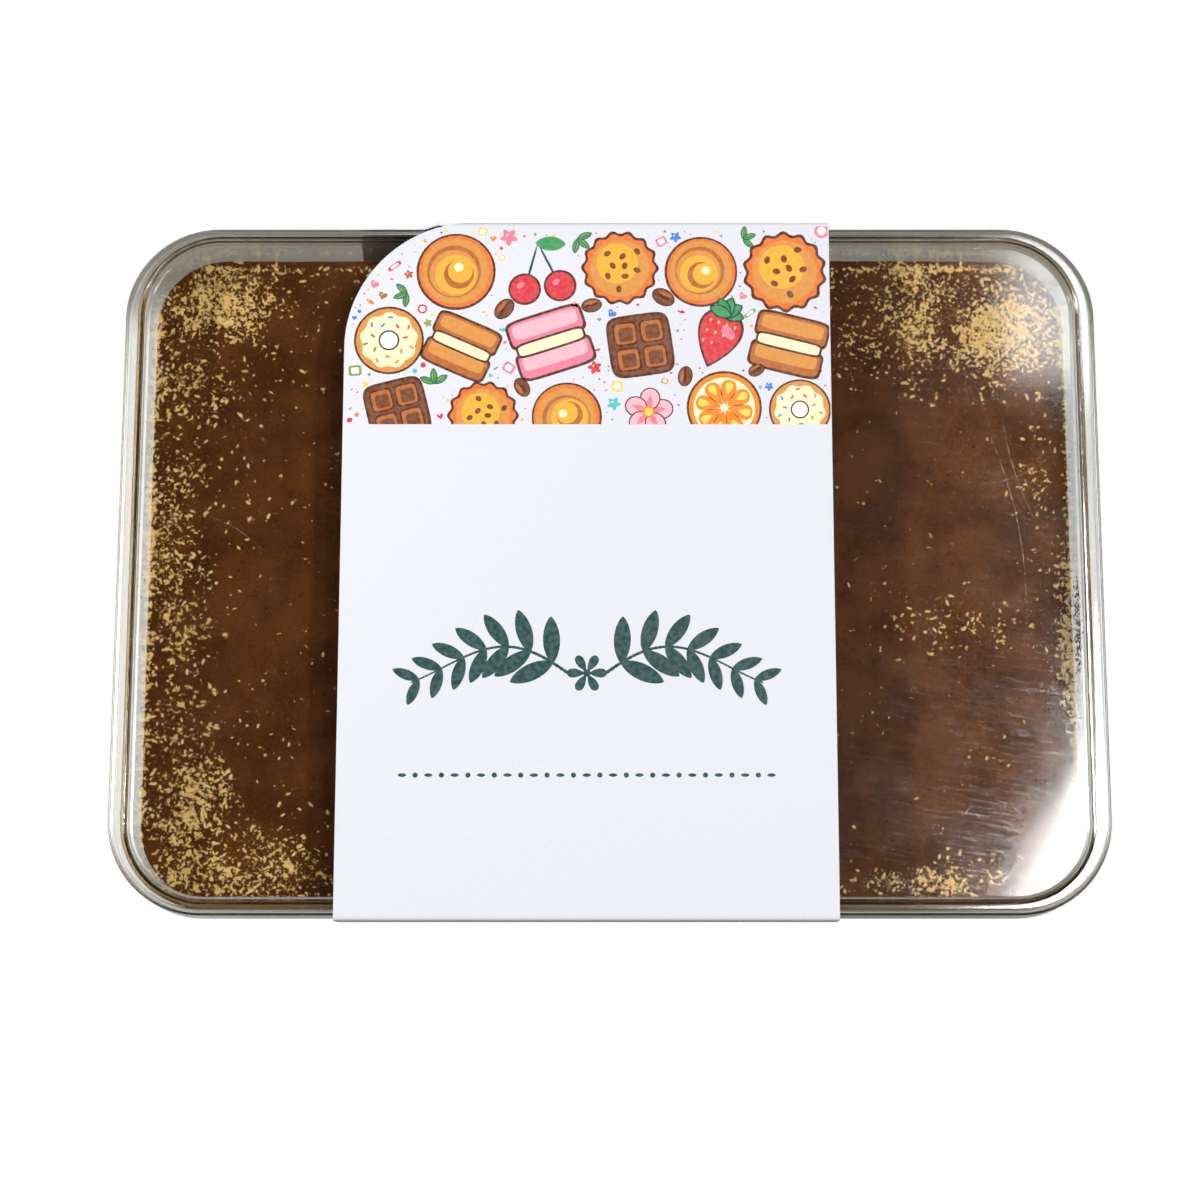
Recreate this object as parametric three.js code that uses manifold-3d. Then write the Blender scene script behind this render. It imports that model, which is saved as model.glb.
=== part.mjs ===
// A family-size tiramisu in a clear box with a lid, inside a white card sleeve.
// Millimetres, +Z up, +Y to the back. The origin is the centre of the footprint, on the table.
import * as THREE from 'three';
import { mergeVertices } from 'three/addons/utils/BufferGeometryUtils.js';
import Module from 'manifold-3d';

const wasm = await Module();
wasm.setup();

// The box as seen from above: the lower edge of the lid's skirt is its widest outline
const BOX_LENGTH = 240;
const BOX_WIDTH = 170;
const BOX_CORNER = 23;
const CORNER_STEPS = 8;

// Room left between two pieces that lie on or in each other
const GAP = 0.3;

// Card sleeve: a band folded the short way round the box
const CARD = 0.5;
const SLEEVE_WIDTH = 119.5;
const SLEEVE_CENTRE_X = -5.5;
const SLEEVE_CURVE = 32;
const SLEEVE_FOOT_LEAN = 1.9;
const BACK_PANEL_LEAN = 3;
const BACK_STEP = { height: 6, rise: 1, length: 15.5, run: 5.5 };
const BACK_STEP_DEPTH = 1.3;
const FOLD_RADIUS = 1;

// Tray: the long sides of its wall stand closer to the outline than the short ones
const TRAY_WALL = 1.2;
const TRAY_BOTTOM = CARD + GAP;
const TRAY_FLOOR = TRAY_BOTTOM + TRAY_WALL;
const TRAY_RIM = 49.8;
const RIM_THICKNESS = 1.1;
const RIM_INSET = 1.8;
const RIM_ROUND = 0.5;
const MOUTH_INSET = 4.5;
const FILL_INSET = 6;
const FLOOR_INSET = 8.4;
const LONG_SIDE_LEAN = 1.2;
const FLOOR_FILLET = 6;
const FILLET_STEPS = 3;

// Lid: a flat panel, a step up to the raised ridge over the rim, and a skirt outside it
const LID_WALL = 0.8;
const PANEL_TOP = 48.6;
const RIDGE_TOP = 51;
const SKIRT_BOTTOM = 42;
const SKIRT_LEAN = 0.5;
const RIDGE_OUTSIDE = 2.1;
const RIDGE_INSIDE = 3.7;
const PANEL_INSET = MOUTH_INSET + GAP + LID_WALL;
const RIDGE_SOFTNESS = 0.6;

// Food: soaked sponge and cream by turns, and the cocoa on top
const FILL_TOP = 37.2;
const COCOA_DEPTH = 0.8;
const CREAM_TOP = FILL_TOP - COCOA_DEPTH - GAP;
const LAYER_TOPS = { spongeLower: 11.5, creamLower: 19.6, spongeUpper: 28, creamUpper: CREAM_TOP };
const LONG_SIDE_STEPS = 32;
const SHORT_SIDE_STEPS = 20;
const FOOD_CORNER_STEPS = 5;
const FINGERS_ROUND = 31;
const FINGER_HEIGHT = 0.7;
const SLOW_WAVES = 7;
const SLOW_HEIGHT = 0.5;
const FLAT_INSET = 9;
const COCOA_RELIEF = 0.2;
const COCOA_RINGS = [0, 3, 10, 20, 32, 46, 60];

// Rounded outline, drawn in from the widest one, as a ring of points with a height for each
function ring(insetX, insetY, height, sideSteps = [1, 1], cornerSteps = CORNER_STEPS) {
  const halfX = BOX_LENGTH / 2 - insetX;
  const halfY = BOX_WIDTH / 2 - insetY;
  const radius = Math.max(BOX_CORNER - (insetX + insetY) / 2, GAP);
  const corners = [[1, -1], [1, 1], [-1, 1], [-1, -1]];
  const points = [];
  corners.forEach(([sideX, sideY], index) => {
    const centre = new THREE.Vector2(sideX * (halfX - radius), sideY * (halfY - radius));
    const start = (index - 1) * Math.PI / 2;
    const arc = new THREE.EllipseCurve(centre.x, centre.y, radius, radius, start, start + Math.PI / 2);
    points.push(...arc.getPoints(cornerSteps));
    const [nextX, nextY] = corners[(index + 1) % corners.length];
    const end = start + Math.PI / 2;
    const next = new THREE.Vector2(
      nextX * (halfX - radius) + radius * Math.cos(end),
      nextY * (halfY - radius) + radius * Math.sin(end),
    );
    const straight = new THREE.LineCurve(points.at(-1), next);
    points.push(...straight.getPoints(sideSteps[index % 2]).slice(1, -1));
  });
  const heightAt = typeof height === 'function' ? height : () => height;
  return points.map((point, index) => {
    const share = index / points.length;
    return new THREE.Vector3(point.x, point.y, heightAt(share, point));
  });
}

// Closed skin through rings that run from the middle of the underside to the middle of the top.
// The diagonals run alike seen from above, so two wavy faces keep an even gap between them.
function loft(rings) {
  const count = rings[0].length;
  const positions = rings.flat().flatMap((point) => point.toArray());
  const indices = [];
  for (let row = 0; row + 1 < rings.length; row += 1) {
    const widens = rings[row + 1][0].y < rings[row][0].y;
    for (let column = 0; column < count; column += 1) {
      const low = row * count + column;
      const lowNext = row * count + (column + 1) % count;
      const high = low + count;
      const highNext = lowNext + count;
      if (widens) {
        indices.push(low, lowNext, high, lowNext, highNext, high);
      } else {
        indices.push(low, lowNext, highNext, low, highNext, high);
      }
    }
  }
  const lastRing = (rings.length - 1) * count;
  const underCentre = positions.length / 3;
  positions.push(0, 0, rings[0][0].z);
  const topCentre = underCentre + 1;
  positions.push(0, 0, rings.at(-1)[0].z);
  for (let column = 0; column < count; column += 1) {
    const next = (column + 1) % count;
    indices.push(underCentre, next, column);
    indices.push(topCentre, lastRing + column, lastRing + next);
  }
  const geometry = new THREE.BufferGeometry();
  geometry.setAttribute('position', new THREE.Float32BufferAttribute(positions, 3));
  geometry.setIndex(indices);
  geometry.computeVertexNormals();
  return geometry;
}

function toSolid(geometry) {
  const bare = geometry.clone();
  bare.deleteAttribute('normal');
  bare.deleteAttribute('uv');
  const merged = mergeVertices(bare);
  return new wasm.Manifold(new wasm.Mesh({
    numProp: 3,
    vertProperties: new Float32Array(merged.getAttribute('position').array),
    triVerts: new Uint32Array(merged.getIndex().array),
  }));
}

function toGeometry(solid) {
  const mesh = solid.getMesh();
  const geometry = new THREE.BufferGeometry();
  geometry.setAttribute('position', new THREE.Float32BufferAttribute(mesh.vertProperties, 3));
  geometry.setIndex(Array.from(mesh.triVerts));
  geometry.computeVertexNormals();
  return geometry;
}

// Inner face of the tray's wall: straight from the mouth to the fill line, and on to the floor
function wallInset(height) {
  if (height >= FILL_TOP) {
    const share = (height - FILL_TOP) / (TRAY_RIM - FILL_TOP);
    return THREE.MathUtils.lerp(FILL_INSET, MOUTH_INSET, share);
  }
  const share = (height - TRAY_FLOOR) / (FILL_TOP - TRAY_FLOOR);
  return THREE.MathUtils.lerp(FLOOR_INSET, FILL_INSET, share);
}

function wallRing(height, outward = 0) {
  const inset = wallInset(height) - outward;
  return ring(inset, inset - LONG_SIDE_LEAN, height);
}

// Quarter-round corner between the wall and the floor, from the floor up
function filletRings(floorHeight, outward, sideSteps, cornerSteps) {
  const radius = FLOOR_FILLET + outward;
  const rings = [];
  for (let step = 0; step <= FILLET_STEPS; step += 1) {
    const angle = step / FILLET_STEPS * Math.PI / 2;
    const height = floorHeight + radius * (1 - Math.cos(angle));
    const inset = wallInset(height) - outward + radius * (1 - Math.sin(angle));
    rings.push(ring(inset, inset - LONG_SIDE_LEAN, height, sideSteps, cornerSteps));
  }
  return rings;
}

function trayGeometry() {
  const underRim = TRAY_RIM - RIM_THICKNESS;
  const mouth = MOUTH_INSET;
  return loft([
    ...filletRings(TRAY_BOTTOM, TRAY_WALL),
    wallRing(FILL_TOP, TRAY_WALL),
    wallRing(underRim, TRAY_WALL),
    ring(RIM_INSET, RIM_INSET, underRim),
    ring(RIM_INSET, RIM_INSET, TRAY_RIM - RIM_ROUND),
    ring(RIM_INSET + RIM_ROUND, RIM_INSET + RIM_ROUND, TRAY_RIM),
    ring(mouth - RIM_ROUND, mouth - RIM_ROUND - LONG_SIDE_LEAN, TRAY_RIM),
    ring(mouth, mouth - LONG_SIDE_LEAN, TRAY_RIM - RIM_ROUND),
    wallRing(FILL_TOP),
    ...filletRings(TRAY_FLOOR, 0).reverse(),
  ]);
}

// One face of the lid, from the skirt's lower edge to the panel; depth moves it into the plastic
function lidFace(depth) {
  const inner = (inset) => [inset - depth, inset - depth - LONG_SIDE_LEAN];
  const outer = (inset) => [inset + depth, inset + depth];
  const ridge = RIDGE_TOP - depth;
  const soft = RIDGE_SOFTNESS;
  return [
    ring(...outer(0), SKIRT_BOTTOM),
    ring(...outer(SKIRT_LEAN), ridge - 2 * soft),
    ring(...outer(SKIRT_LEAN + soft), ridge - soft / 2),
    ring(...outer(RIDGE_OUTSIDE), ridge),
    ring(...inner(RIDGE_INSIDE + depth), ridge),
    ring(...inner(PANEL_INSET - soft / 4), ridge - soft / 2),
    ring(...inner(PANEL_INSET), PANEL_TOP - depth + soft),
    ring(...inner(PANEL_INSET + soft), PANEL_TOP - depth),
  ];
}

function lidGeometry() {
  return loft([...lidFace(LID_WALL).reverse(), ...lidFace(0)]);
}

// End view of the band: upright beside the lid's skirt, then drawn in towards its foot
function bandShape(halfWidth, bottom, top, radius) {
  const halfFoot = halfWidth - SLEEVE_FOOT_LEAN;
  const shape = new THREE.Shape();
  shape.absarc(halfFoot - radius, bottom + radius, radius, -Math.PI / 2, 0);
  shape.lineTo(halfWidth, SKIRT_BOTTOM);
  shape.absarc(halfWidth - radius, top - radius, radius, 0, Math.PI / 2);
  shape.absarc(radius - halfWidth, top - radius, radius, Math.PI / 2, Math.PI);
  shape.lineTo(-halfWidth, SKIRT_BOTTOM);
  shape.absarc(radius - halfFoot, bottom + radius, radius, Math.PI, Math.PI * 3 / 2);
  shape.closePath();
  return shape;
}

function sleeveGeometry() {
  const insideHalf = BOX_WIDTH / 2 + GAP;
  const insideTop = RIDGE_TOP + GAP;
  const half = insideHalf + CARD;
  const top = insideTop + CARD;
  const left = SLEEVE_CENTRE_X - SLEEVE_WIDTH / 2;
  const section = bandShape(half, 0, top, FOLD_RADIUS);
  section.holes.push(bandShape(insideHalf, CARD, insideTop, FOLD_RADIUS - CARD));
  const band = new THREE.ExtrudeGeometry(section, {
    depth: SLEEVE_WIDTH, bevelEnabled: false, curveSegments: 3,
  });
  const across = new THREE.Matrix4().makeBasis(
    new THREE.Vector3(0, 1, 0), new THREE.Vector3(0, 0, 1), new THREE.Vector3(1, 0, 0),
  );
  band.applyMatrix4(across.setPosition(left, 0, 0));

  // What the die takes off the back left corner of the top panel, outside a quarter circle
  const offcut = new THREE.Shape();
  offcut.moveTo(left - 1, half + 1);
  offcut.lineTo(left - 1, half - SLEEVE_CURVE);
  offcut.lineTo(left, half - SLEEVE_CURVE);
  offcut.absarc(left + SLEEVE_CURVE, half - SLEEVE_CURVE, SLEEVE_CURVE, Math.PI, Math.PI / 2, true);
  offcut.lineTo(left + SLEEVE_CURVE, half + 1);
  offcut.closePath();
  const die = new THREE.ExtrudeGeometry(offcut, { depth: 2, bevelEnabled: false, curveSegments: 24 });
  die.translate(0, 0, insideTop - GAP / 2);

  // What it takes off the back panel: its left edge leans in, and steps down where no top panel holds it
  const leaning = left + BACK_PANEL_LEAN;
  const stepEnd = leaning + BACK_STEP.length;
  const foot = [left, FOLD_RADIUS];
  const shoulder = [leaning, top - BACK_STEP.height];
  const knee = [stepEnd, top - BACK_STEP.height + BACK_STEP.rise];
  const head = [stepEnd + BACK_STEP.run, top + GAP];
  const dies = [
    sideDie(foot, shoulder, half, 2 * SLEEVE_FOOT_LEAN),
    sideDie(shoulder, knee, half, BACK_STEP_DEPTH),
    sideDie(knee, head, half, BACK_STEP_DEPTH),
  ];
  return toGeometry([die, ...dies].reduce((rest, one) => rest.subtract(toSolid(one)), toSolid(band)));
}

// Die for the back panel, left of a slanted line between two places on it, each [x, height]
function sideDie(foot, head, half, depth) {
  const shape = new THREE.Shape();
  shape.moveTo(SLEEVE_CENTRE_X - SLEEVE_WIDTH / 2 - 1, foot[1]);
  shape.lineTo(...foot);
  shape.lineTo(...head);
  shape.lineTo(SLEEVE_CENTRE_X - SLEEVE_WIDTH / 2 - 1, head[1]);
  shape.closePath();
  const die = new THREE.ExtrudeGeometry(shape, { depth: depth + 1, bevelEnabled: false });
  const upright = new THREE.Matrix4().makeBasis(
    new THREE.Vector3(1, 0, 0), new THREE.Vector3(0, 0, 1), new THREE.Vector3(0, -1, 0),
  );
  return die.applyMatrix4(upright.setPosition(0, half + 1, 0));
}

// Height of a layer's edge above its level: a bump for each sponge finger, on a slow swell
function edgeWave(share, phase) {
  const turn = 2 * Math.PI * share;
  return FINGER_HEIGHT * Math.cos(FINGERS_ROUND * turn) + SLOW_HEIGHT * Math.sin(SLOW_WAVES * turn + phase);
}

const FOOD_SIDES = [SHORT_SIDE_STEPS, LONG_SIDE_STEPS];

function foodRing(height, inward, wave = () => 0) {
  const inset = wallInset(height) + GAP + inward;
  return ring(inset, inset - LONG_SIDE_LEAN, (share) => height + wave(share), FOOD_SIDES, FOOD_CORNER_STEPS);
}

// A layer that fills the tray between two levels, and meets the wall along two wavy edges
function layerGeometry(bottom, top, bottomPhase, topPhase) {
  return loft([
    foodRing(bottom, FLAT_INSET),
    foodRing(bottom, 0, (share) => edgeWave(share, bottomPhase)),
    foodRing(top, 0, (share) => edgeWave(share, topPhase)),
    foodRing(top, FLAT_INSET),
  ]);
}

// The lowest layer follows the rounded corner of the tray's floor
function bottomLayerGeometry(top, topPhase) {
  const rings = filletRings(TRAY_FLOOR + GAP, -GAP, FOOD_SIDES, FOOD_CORNER_STEPS);
  return loft([
    ...rings,
    foodRing(top, 0, (share) => edgeWave(share, topPhase)),
    foodRing(top, FLAT_INSET),
  ]);
}

// Top cream is level where the cocoa lies on it
function topLayerGeometry(bottom, top, bottomPhase) {
  return loft([
    foodRing(bottom, FLAT_INSET),
    foodRing(bottom, 0, (share) => edgeWave(share, bottomPhase)),
    foodRing(top, 0),
    foodRing(top, FLAT_INSET),
  ]);
}

// Sifted cocoa: a thin level bed with a low, uneven top
function cocoaGeometry() {
  const swell = (share, point) => COCOA_RELIEF
    * Math.sin(point.x / 13 + 1) * Math.cos(point.y / 9);
  const rings = COCOA_RINGS.map((inward) => {
    const inset = wallInset(FILL_TOP) + GAP + inward;
    const height = (share, point) => FILL_TOP - COCOA_RELIEF + swell(share, point);
    return ring(inset, inset - LONG_SIDE_LEAN, height, FOOD_SIDES, FOOD_CORNER_STEPS);
  });
  return loft([foodRing(FILL_TOP - COCOA_DEPTH, 0), ...rings]);
}

const finish = (color, roughness, extra = {}) => new THREE.MeshStandardMaterial({
  color, roughness, metalness: 0, ...extra,
});
const clearPlastic = finish('#dfe3e4', 0.08, { transparent: true, opacity: 0.35 });
const card = finish('#f3f5fa', 0.45);
const cream = finish('#ecd9ab', 0.5);
const sponge = finish('#9a6434', 0.85);
const cocoa = finish('#5a3418', 0.95);

const group = new THREE.Group();

function addNode(name, geometry, material) {
  const mesh = new THREE.Mesh(geometry, material);
  mesh.name = name;
  group.add(mesh);
}

addNode('tray', trayGeometry(), clearPlastic);
addNode('lid', lidGeometry(), clearPlastic);
addNode('sleeve', sleeveGeometry(), card);
addNode('sponge_lower', bottomLayerGeometry(LAYER_TOPS.spongeLower, 0), sponge);
addNode(
  'cream_lower',
  layerGeometry(LAYER_TOPS.spongeLower + GAP, LAYER_TOPS.creamLower, 0, 2),
  cream,
);
addNode(
  'sponge_upper',
  layerGeometry(LAYER_TOPS.creamLower + GAP, LAYER_TOPS.spongeUpper, 2, 4),
  sponge,
);
addNode('cream_upper', topLayerGeometry(LAYER_TOPS.spongeUpper + GAP, LAYER_TOPS.creamUpper, 4), cream);
addNode('cocoa_dusting', cocoaGeometry(), cocoa);

export default group;
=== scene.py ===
"""A family-size tiramisu in a clear box with a lid, inside a white card sleeve."""
import logging
import math
import random
from dataclasses import dataclass, field, replace
from enum import Enum
from functools import partial
from typing import Any, Callable, Iterable

import bmesh
import bpy
from bmesh.types import BMEdge, BMesh, BMVert
from bpy.types import Material, Object
from mathutils import Matrix, Vector, noise


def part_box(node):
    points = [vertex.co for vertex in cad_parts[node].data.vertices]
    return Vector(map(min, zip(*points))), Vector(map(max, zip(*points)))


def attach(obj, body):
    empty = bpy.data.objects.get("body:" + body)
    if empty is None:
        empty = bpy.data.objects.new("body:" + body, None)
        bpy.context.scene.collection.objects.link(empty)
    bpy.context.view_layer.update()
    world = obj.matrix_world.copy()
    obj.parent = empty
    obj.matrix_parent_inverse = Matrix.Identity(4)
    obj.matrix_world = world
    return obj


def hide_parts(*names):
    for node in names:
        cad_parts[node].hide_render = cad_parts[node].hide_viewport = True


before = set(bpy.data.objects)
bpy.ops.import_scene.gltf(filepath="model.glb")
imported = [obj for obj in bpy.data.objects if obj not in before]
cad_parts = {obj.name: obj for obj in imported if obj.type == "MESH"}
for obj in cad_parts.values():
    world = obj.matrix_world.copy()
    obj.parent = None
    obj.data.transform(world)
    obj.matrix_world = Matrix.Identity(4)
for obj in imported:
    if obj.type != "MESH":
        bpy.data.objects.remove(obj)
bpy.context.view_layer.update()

MM = 0.001
ROOT = "root"
TRAY_THICKNESS = 1.2 * MM
COCOA_DEPTH = 0.8 * MM
AIM_HEIGHT = 49 * MM  # about the lid's panel, which the camera looks at
log = logging.getLogger("boxed_tiramisu")


class Slot(Enum):
    """The record's material slots."""

    CLEAR = "clear_plastic"
    CARD = "white_card"
    SPONGE = "soaked_sponge"
    CREAM = "cream"
    COCOA = "cocoa"


def linear(hex_colour: str, alpha: float = 1.0) -> tuple[float, float, float, float]:
    """Turns an sRGB hex colour into linear light.

    Args:
        hex_colour: six hex digits after a hash.
        alpha: the fourth value, passed on as it is.

    Returns:
        Red, green, blue and alpha.
    """
    parts = [int(hex_colour[start:start + 2], 16) / 255 for start in (1, 3, 5)]
    light = [part / 12.92 if part <= 0.04045 else ((part + 0.055) / 1.055) ** 2.4 for part in parts]
    return (*light, alpha)


def add_node(tree: bpy.types.NodeTree, kind: str, inputs: dict[str | int, Any] | None = None,
             **settings: Any) -> bpy.types.Node:
    """Adds one node with its settings, and sets or links its inputs.

    Args:
        tree: the node tree that gets the node.
        kind: the node's type, without the usual first word.
        inputs: input sockets by name or number, each with a value, a socket to link from, or a
            node whose first output is linked.
        settings: properties of the node itself.

    Returns:
        The new node.
    """
    node = tree.nodes.new("ShaderNode" + kind)
    for name, value in settings.items():
        setattr(node, name, value)
    for key, value in (inputs or {}).items():
        if isinstance(value, bpy.types.Node):
            value = next(socket for socket in value.outputs if socket.enabled)
        if isinstance(value, bpy.types.NodeSocket):
            tree.links.new(value, node.inputs[key])
        else:
            node.inputs[key].default_value = value
    return node


def new_material(name: str) -> tuple[Material, Callable[..., bpy.types.Node]]:
    """Starts a material, and gives the function that adds nodes to it.

    Args:
        name: what the material is called.

    Returns:
        The material and that function.
    """
    material = bpy.data.materials.new(name)
    material.use_nodes = True
    material.node_tree.nodes.clear()
    return material, partial(add_node, material.node_tree)


SOFT = {"interpolation_type": "SMOOTHSTEP"}
COLOURS = {"data_type": "RGBA"}
SHARE, FIRST, SECOND = 0, 6, 7
WIDE = {"From Min": 0.3, "From Max": 0.7}      # most of what a noise texture gives
NARROW = {"From Min": 0.35, "From Max": 0.65}  # its middle, for a harder edge


@dataclass(frozen=True)
class ClearPolystyrene:
    """Clear polystyrene, injection moulded: hard gloss with fine rub marks from stacking."""

    name: str = "clear polystyrene, moulded"
    tint: str = "#fbfdfc"
    edge_shade: str = "#959e9e"
    face_shade: str = "#fafbfb"
    ior: float = 1.57
    rub_width: float = 0.5 * MM
    rub_slimness: float = 0.06
    rub_turn: float = -80
    rub_depth: float = 0.001 * MM
    rub_roughness: float = 0.08
    cloud_width: float = 22 * MM
    least_haze: float = 0.05
    most_haze: float = 0.085

    def make(self) -> Material:
        """Builds the material.

        Returns:
            Glass-like plastic that lets lamplight through, less of it where it is met edge on.
        """
        material, add = new_material(self.name)
        place = add("TexCoord").outputs["Object"]
        turned = add("Mapping", {"Vector": place, "Rotation": (0, 0, math.radians(self.rub_turn))})
        drawn = add("Mapping", {"Vector": turned, "Scale": (1, self.rub_slimness, 1)})
        rubs = add("TexNoise", {"Vector": drawn, "Scale": 1 / self.rub_width, "Detail": 3.0,
                                "Roughness": 0.6, "Distortion": 0.4})
        clouds = add("TexNoise", {"Vector": place, "Scale": 1 / self.cloud_width, "Detail": 3.0})
        worn = add("MapRange", {"Value": rubs, "From Min": 0.52, "From Max": 0.72,
                                "To Max": self.rub_roughness}, **SOFT)
        cloudy = add("MapRange", {"Value": clouds, "From Min": 0.3, "From Max": 0.75,
                                  "To Min": self.least_haze, "To Max": self.most_haze}, **SOFT)
        roughness = add("Math", {0: worn, 1: cloudy}, operation="ADD")
        relief = add("Bump", {"Height": rubs, "Distance": self.rub_depth})
        plastic = add("BsdfPrincipled", {
            "Base Color": linear(self.tint), "Transmission Weight": 1.0, "IOR": self.ior,
            "Roughness": roughness, "Normal": relief})
        facing = add("LayerWeight", {"Blend": 0.35}).outputs["Facing"]
        shade = add("Mix", {SHARE: facing, FIRST: linear(self.face_shade),
                            SECOND: linear(self.edge_shade)}, **COLOURS)
        path = add("LightPath")
        lamp_ray = add("Math", {0: path.outputs["Is Shadow Ray"],
                                1: path.outputs["Is Diffuse Ray"]}, operation="MAXIMUM")
        mixed = add("MixShader", {0: lamp_ray, 1: plastic, 2: add("BsdfTransparent", {
            "Color": shade})})
        add("OutputMaterial", {"Surface": mixed})
        return material


@dataclass(frozen=True)
class SiftedCocoa:
    """Cocoa powder sifted over cream: dull brown, with the cream showing where it lies thin.

    It is painted paler and warmer towards the right end of the box: painted light, brighter there.
    """

    name: str = "cocoa powder, sifted"
    painted_light_tone: str = "#80491f"
    light: str = "#6e3d18"
    dark: str = "#401c05"
    cream: str = "#ffcf80"
    cream_shade: str = "#d3964a"
    clump_width: float = 0.7 * MM
    cloud_width: float = 11 * MM
    fleck_width: float = 1.4 * MM
    fleck_depth: float = 0.12 * MM
    covered: float = 0.75
    cover_range: float = 0.27
    speck_range: float = 0.24
    fleck_edge: float = 0.03
    painted_light_start: float = 50 * MM
    painted_light_end: float = 100 * MM
    cloud_share: float = 0.5
    clump_share: float = 0.5
    clump_relief: float = 0.6
    roughness: float = 0.95
    cream_roughness: float = 0.6
    gloss: float = 0.06

    def make(self) -> Material:
        """Builds the material, which reads how bare the cream is from the attribute bare.

        Returns:
            The material.
        """
        material, add = new_material(self.name)
        place = add("TexCoord").outputs["Object"]
        bare = add("Attribute", attribute_name="bare").outputs["Fac"]
        flecks = add("TexNoise", {"Vector": place, "Scale": 1 / self.fleck_width, "Detail": 2.0,
                                  "Roughness": 0.5, "Distortion": 0.7})
        clumps = add("TexNoise", {"Vector": place, "Scale": 1 / self.clump_width, "Detail": 3.0,
                                  "Roughness": 0.65})
        clouds = add("TexNoise", {"Vector": place, "Scale": 1 / self.cloud_width, "Detail": 2.0})
        level = add("Math", {0: bare, 1: -self.cover_range, 2: self.covered},
                    operation="MULTIPLY_ADD")
        above = add("Math", {0: level, 1: self.fleck_edge}, operation="ADD")
        smear = add("MapRange", {"Value": flecks, "From Min": level, "From Max": above}, **SOFT)
        speck_level = add("Math", {0: bare, 1: -self.speck_range, 2: self.covered},
                          operation="MULTIPLY_ADD")
        speck_top = add("Math", {0: speck_level, 1: self.fleck_edge}, operation="ADD")
        speck = add("MapRange", {"Value": clumps, "From Min": speck_level,
                                 "From Max": speck_top}, **SOFT)
        fleck = add("Math", {0: smear, 1: speck}, operation="MAXIMUM")
        along = add("SeparateXYZ", {0: place}).outputs["X"]
        # painted light: paler, warmer powder towards the right end stands in for brighter light
        # there
        dryness_and_painted_light = add("MapRange", {"Value": along, "From Min": self.painted_light_start,
                                   "From Max": self.painted_light_end}, **SOFT)
        crest = add("Mix", {SHARE: dryness_and_painted_light, FIRST: linear(self.light), SECOND: linear(self.painted_light_tone)},
                    **COLOURS)
        patchy = add("MapRange", {"Value": clouds, **WIDE, "To Max": self.cloud_share}, **SOFT)
        grainy = add("MapRange", {"Value": clumps, **WIDE, "To Max": self.clump_share}, **SOFT)
        tone = add("Math", {0: patchy, 1: grainy}, operation="ADD")
        powder = add("Mix", {SHARE: tone, FIRST: linear(self.dark), SECOND: crest}, **COLOURS)
        dusting = add("MapRange", {"Value": clumps, "From Min": 0.33, "From Max": 0.55}, **SOFT)
        cream = add("Mix", {SHARE: dusting, FIRST: linear(self.cream_shade),
                            SECOND: linear(self.cream)}, **COLOURS)
        colour = add("Mix", {SHARE: fleck, FIRST: powder, SECOND: cream}, **COLOURS)
        height = add("Math", {0: clumps, 1: self.clump_relief, 2: fleck},
                     operation="MULTIPLY_ADD")
        relief = add("Bump", {"Height": height, "Distance": self.fleck_depth})
        dull = add("MapRange", {"Value": fleck, "To Min": self.roughness,
                                "To Max": self.cream_roughness})
        add("OutputMaterial", {"Surface": add("BsdfPrincipled", {
            "Base Color": colour, "Roughness": dull, "Specular IOR Level": self.gloss,
            "Normal": relief})})
        return material


@dataclass(frozen=True)
class WhippedCream:
    """Mascarpone cream, whipped and spread: smooth, faintly translucent, with small air holes."""

    name: str = "mascarpone cream, whipped"
    light: str = "#fbd490"
    dark: str = "#e9b365"
    cloud_width: float = 9 * MM
    hole_width: float = 1.1 * MM
    hole_depth: float = 0.15 * MM
    glow_depth: float = 1.5 * MM

    def make(self) -> Material:
        """Builds the material.

        Returns:
            The material.
        """
        material, add = new_material(self.name)
        place = add("TexCoord").outputs["Object"]
        clouds = add("TexNoise", {"Vector": place, "Scale": 1 / self.cloud_width, "Detail": 3.0})
        holes = add("TexNoise", {"Vector": place, "Scale": 1 / self.hole_width, "Detail": 2.0})
        thick = add("MapRange", {"Value": clouds, **WIDE}, **SOFT)
        whole = add("MapRange", {"Value": holes, "From Min": 0.3, "From Max": 0.42}, **SOFT)
        spread = add("Mix", {SHARE: thick, FIRST: linear(self.dark), SECOND: linear(self.light)},
                     **COLOURS)
        # painted shade: the air holes are painted in the darker cream colour
        colour = add("Mix", {SHARE: whole, FIRST: linear(self.dark), SECOND: spread}, **COLOURS)
        relief = add("Bump", {"Height": whole, "Distance": self.hole_depth})
        gloss = add("MapRange", {"Value": thick, "To Min": 0.35, "To Max": 0.5})
        add("OutputMaterial", {"Surface": add("BsdfPrincipled", {
            "Base Color": colour, "Roughness": gloss, "Subsurface Weight": 0.12,
            "Subsurface Scale": self.glow_depth, "Specular IOR Level": 0.4, "Normal": relief})})
        return material


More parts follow.
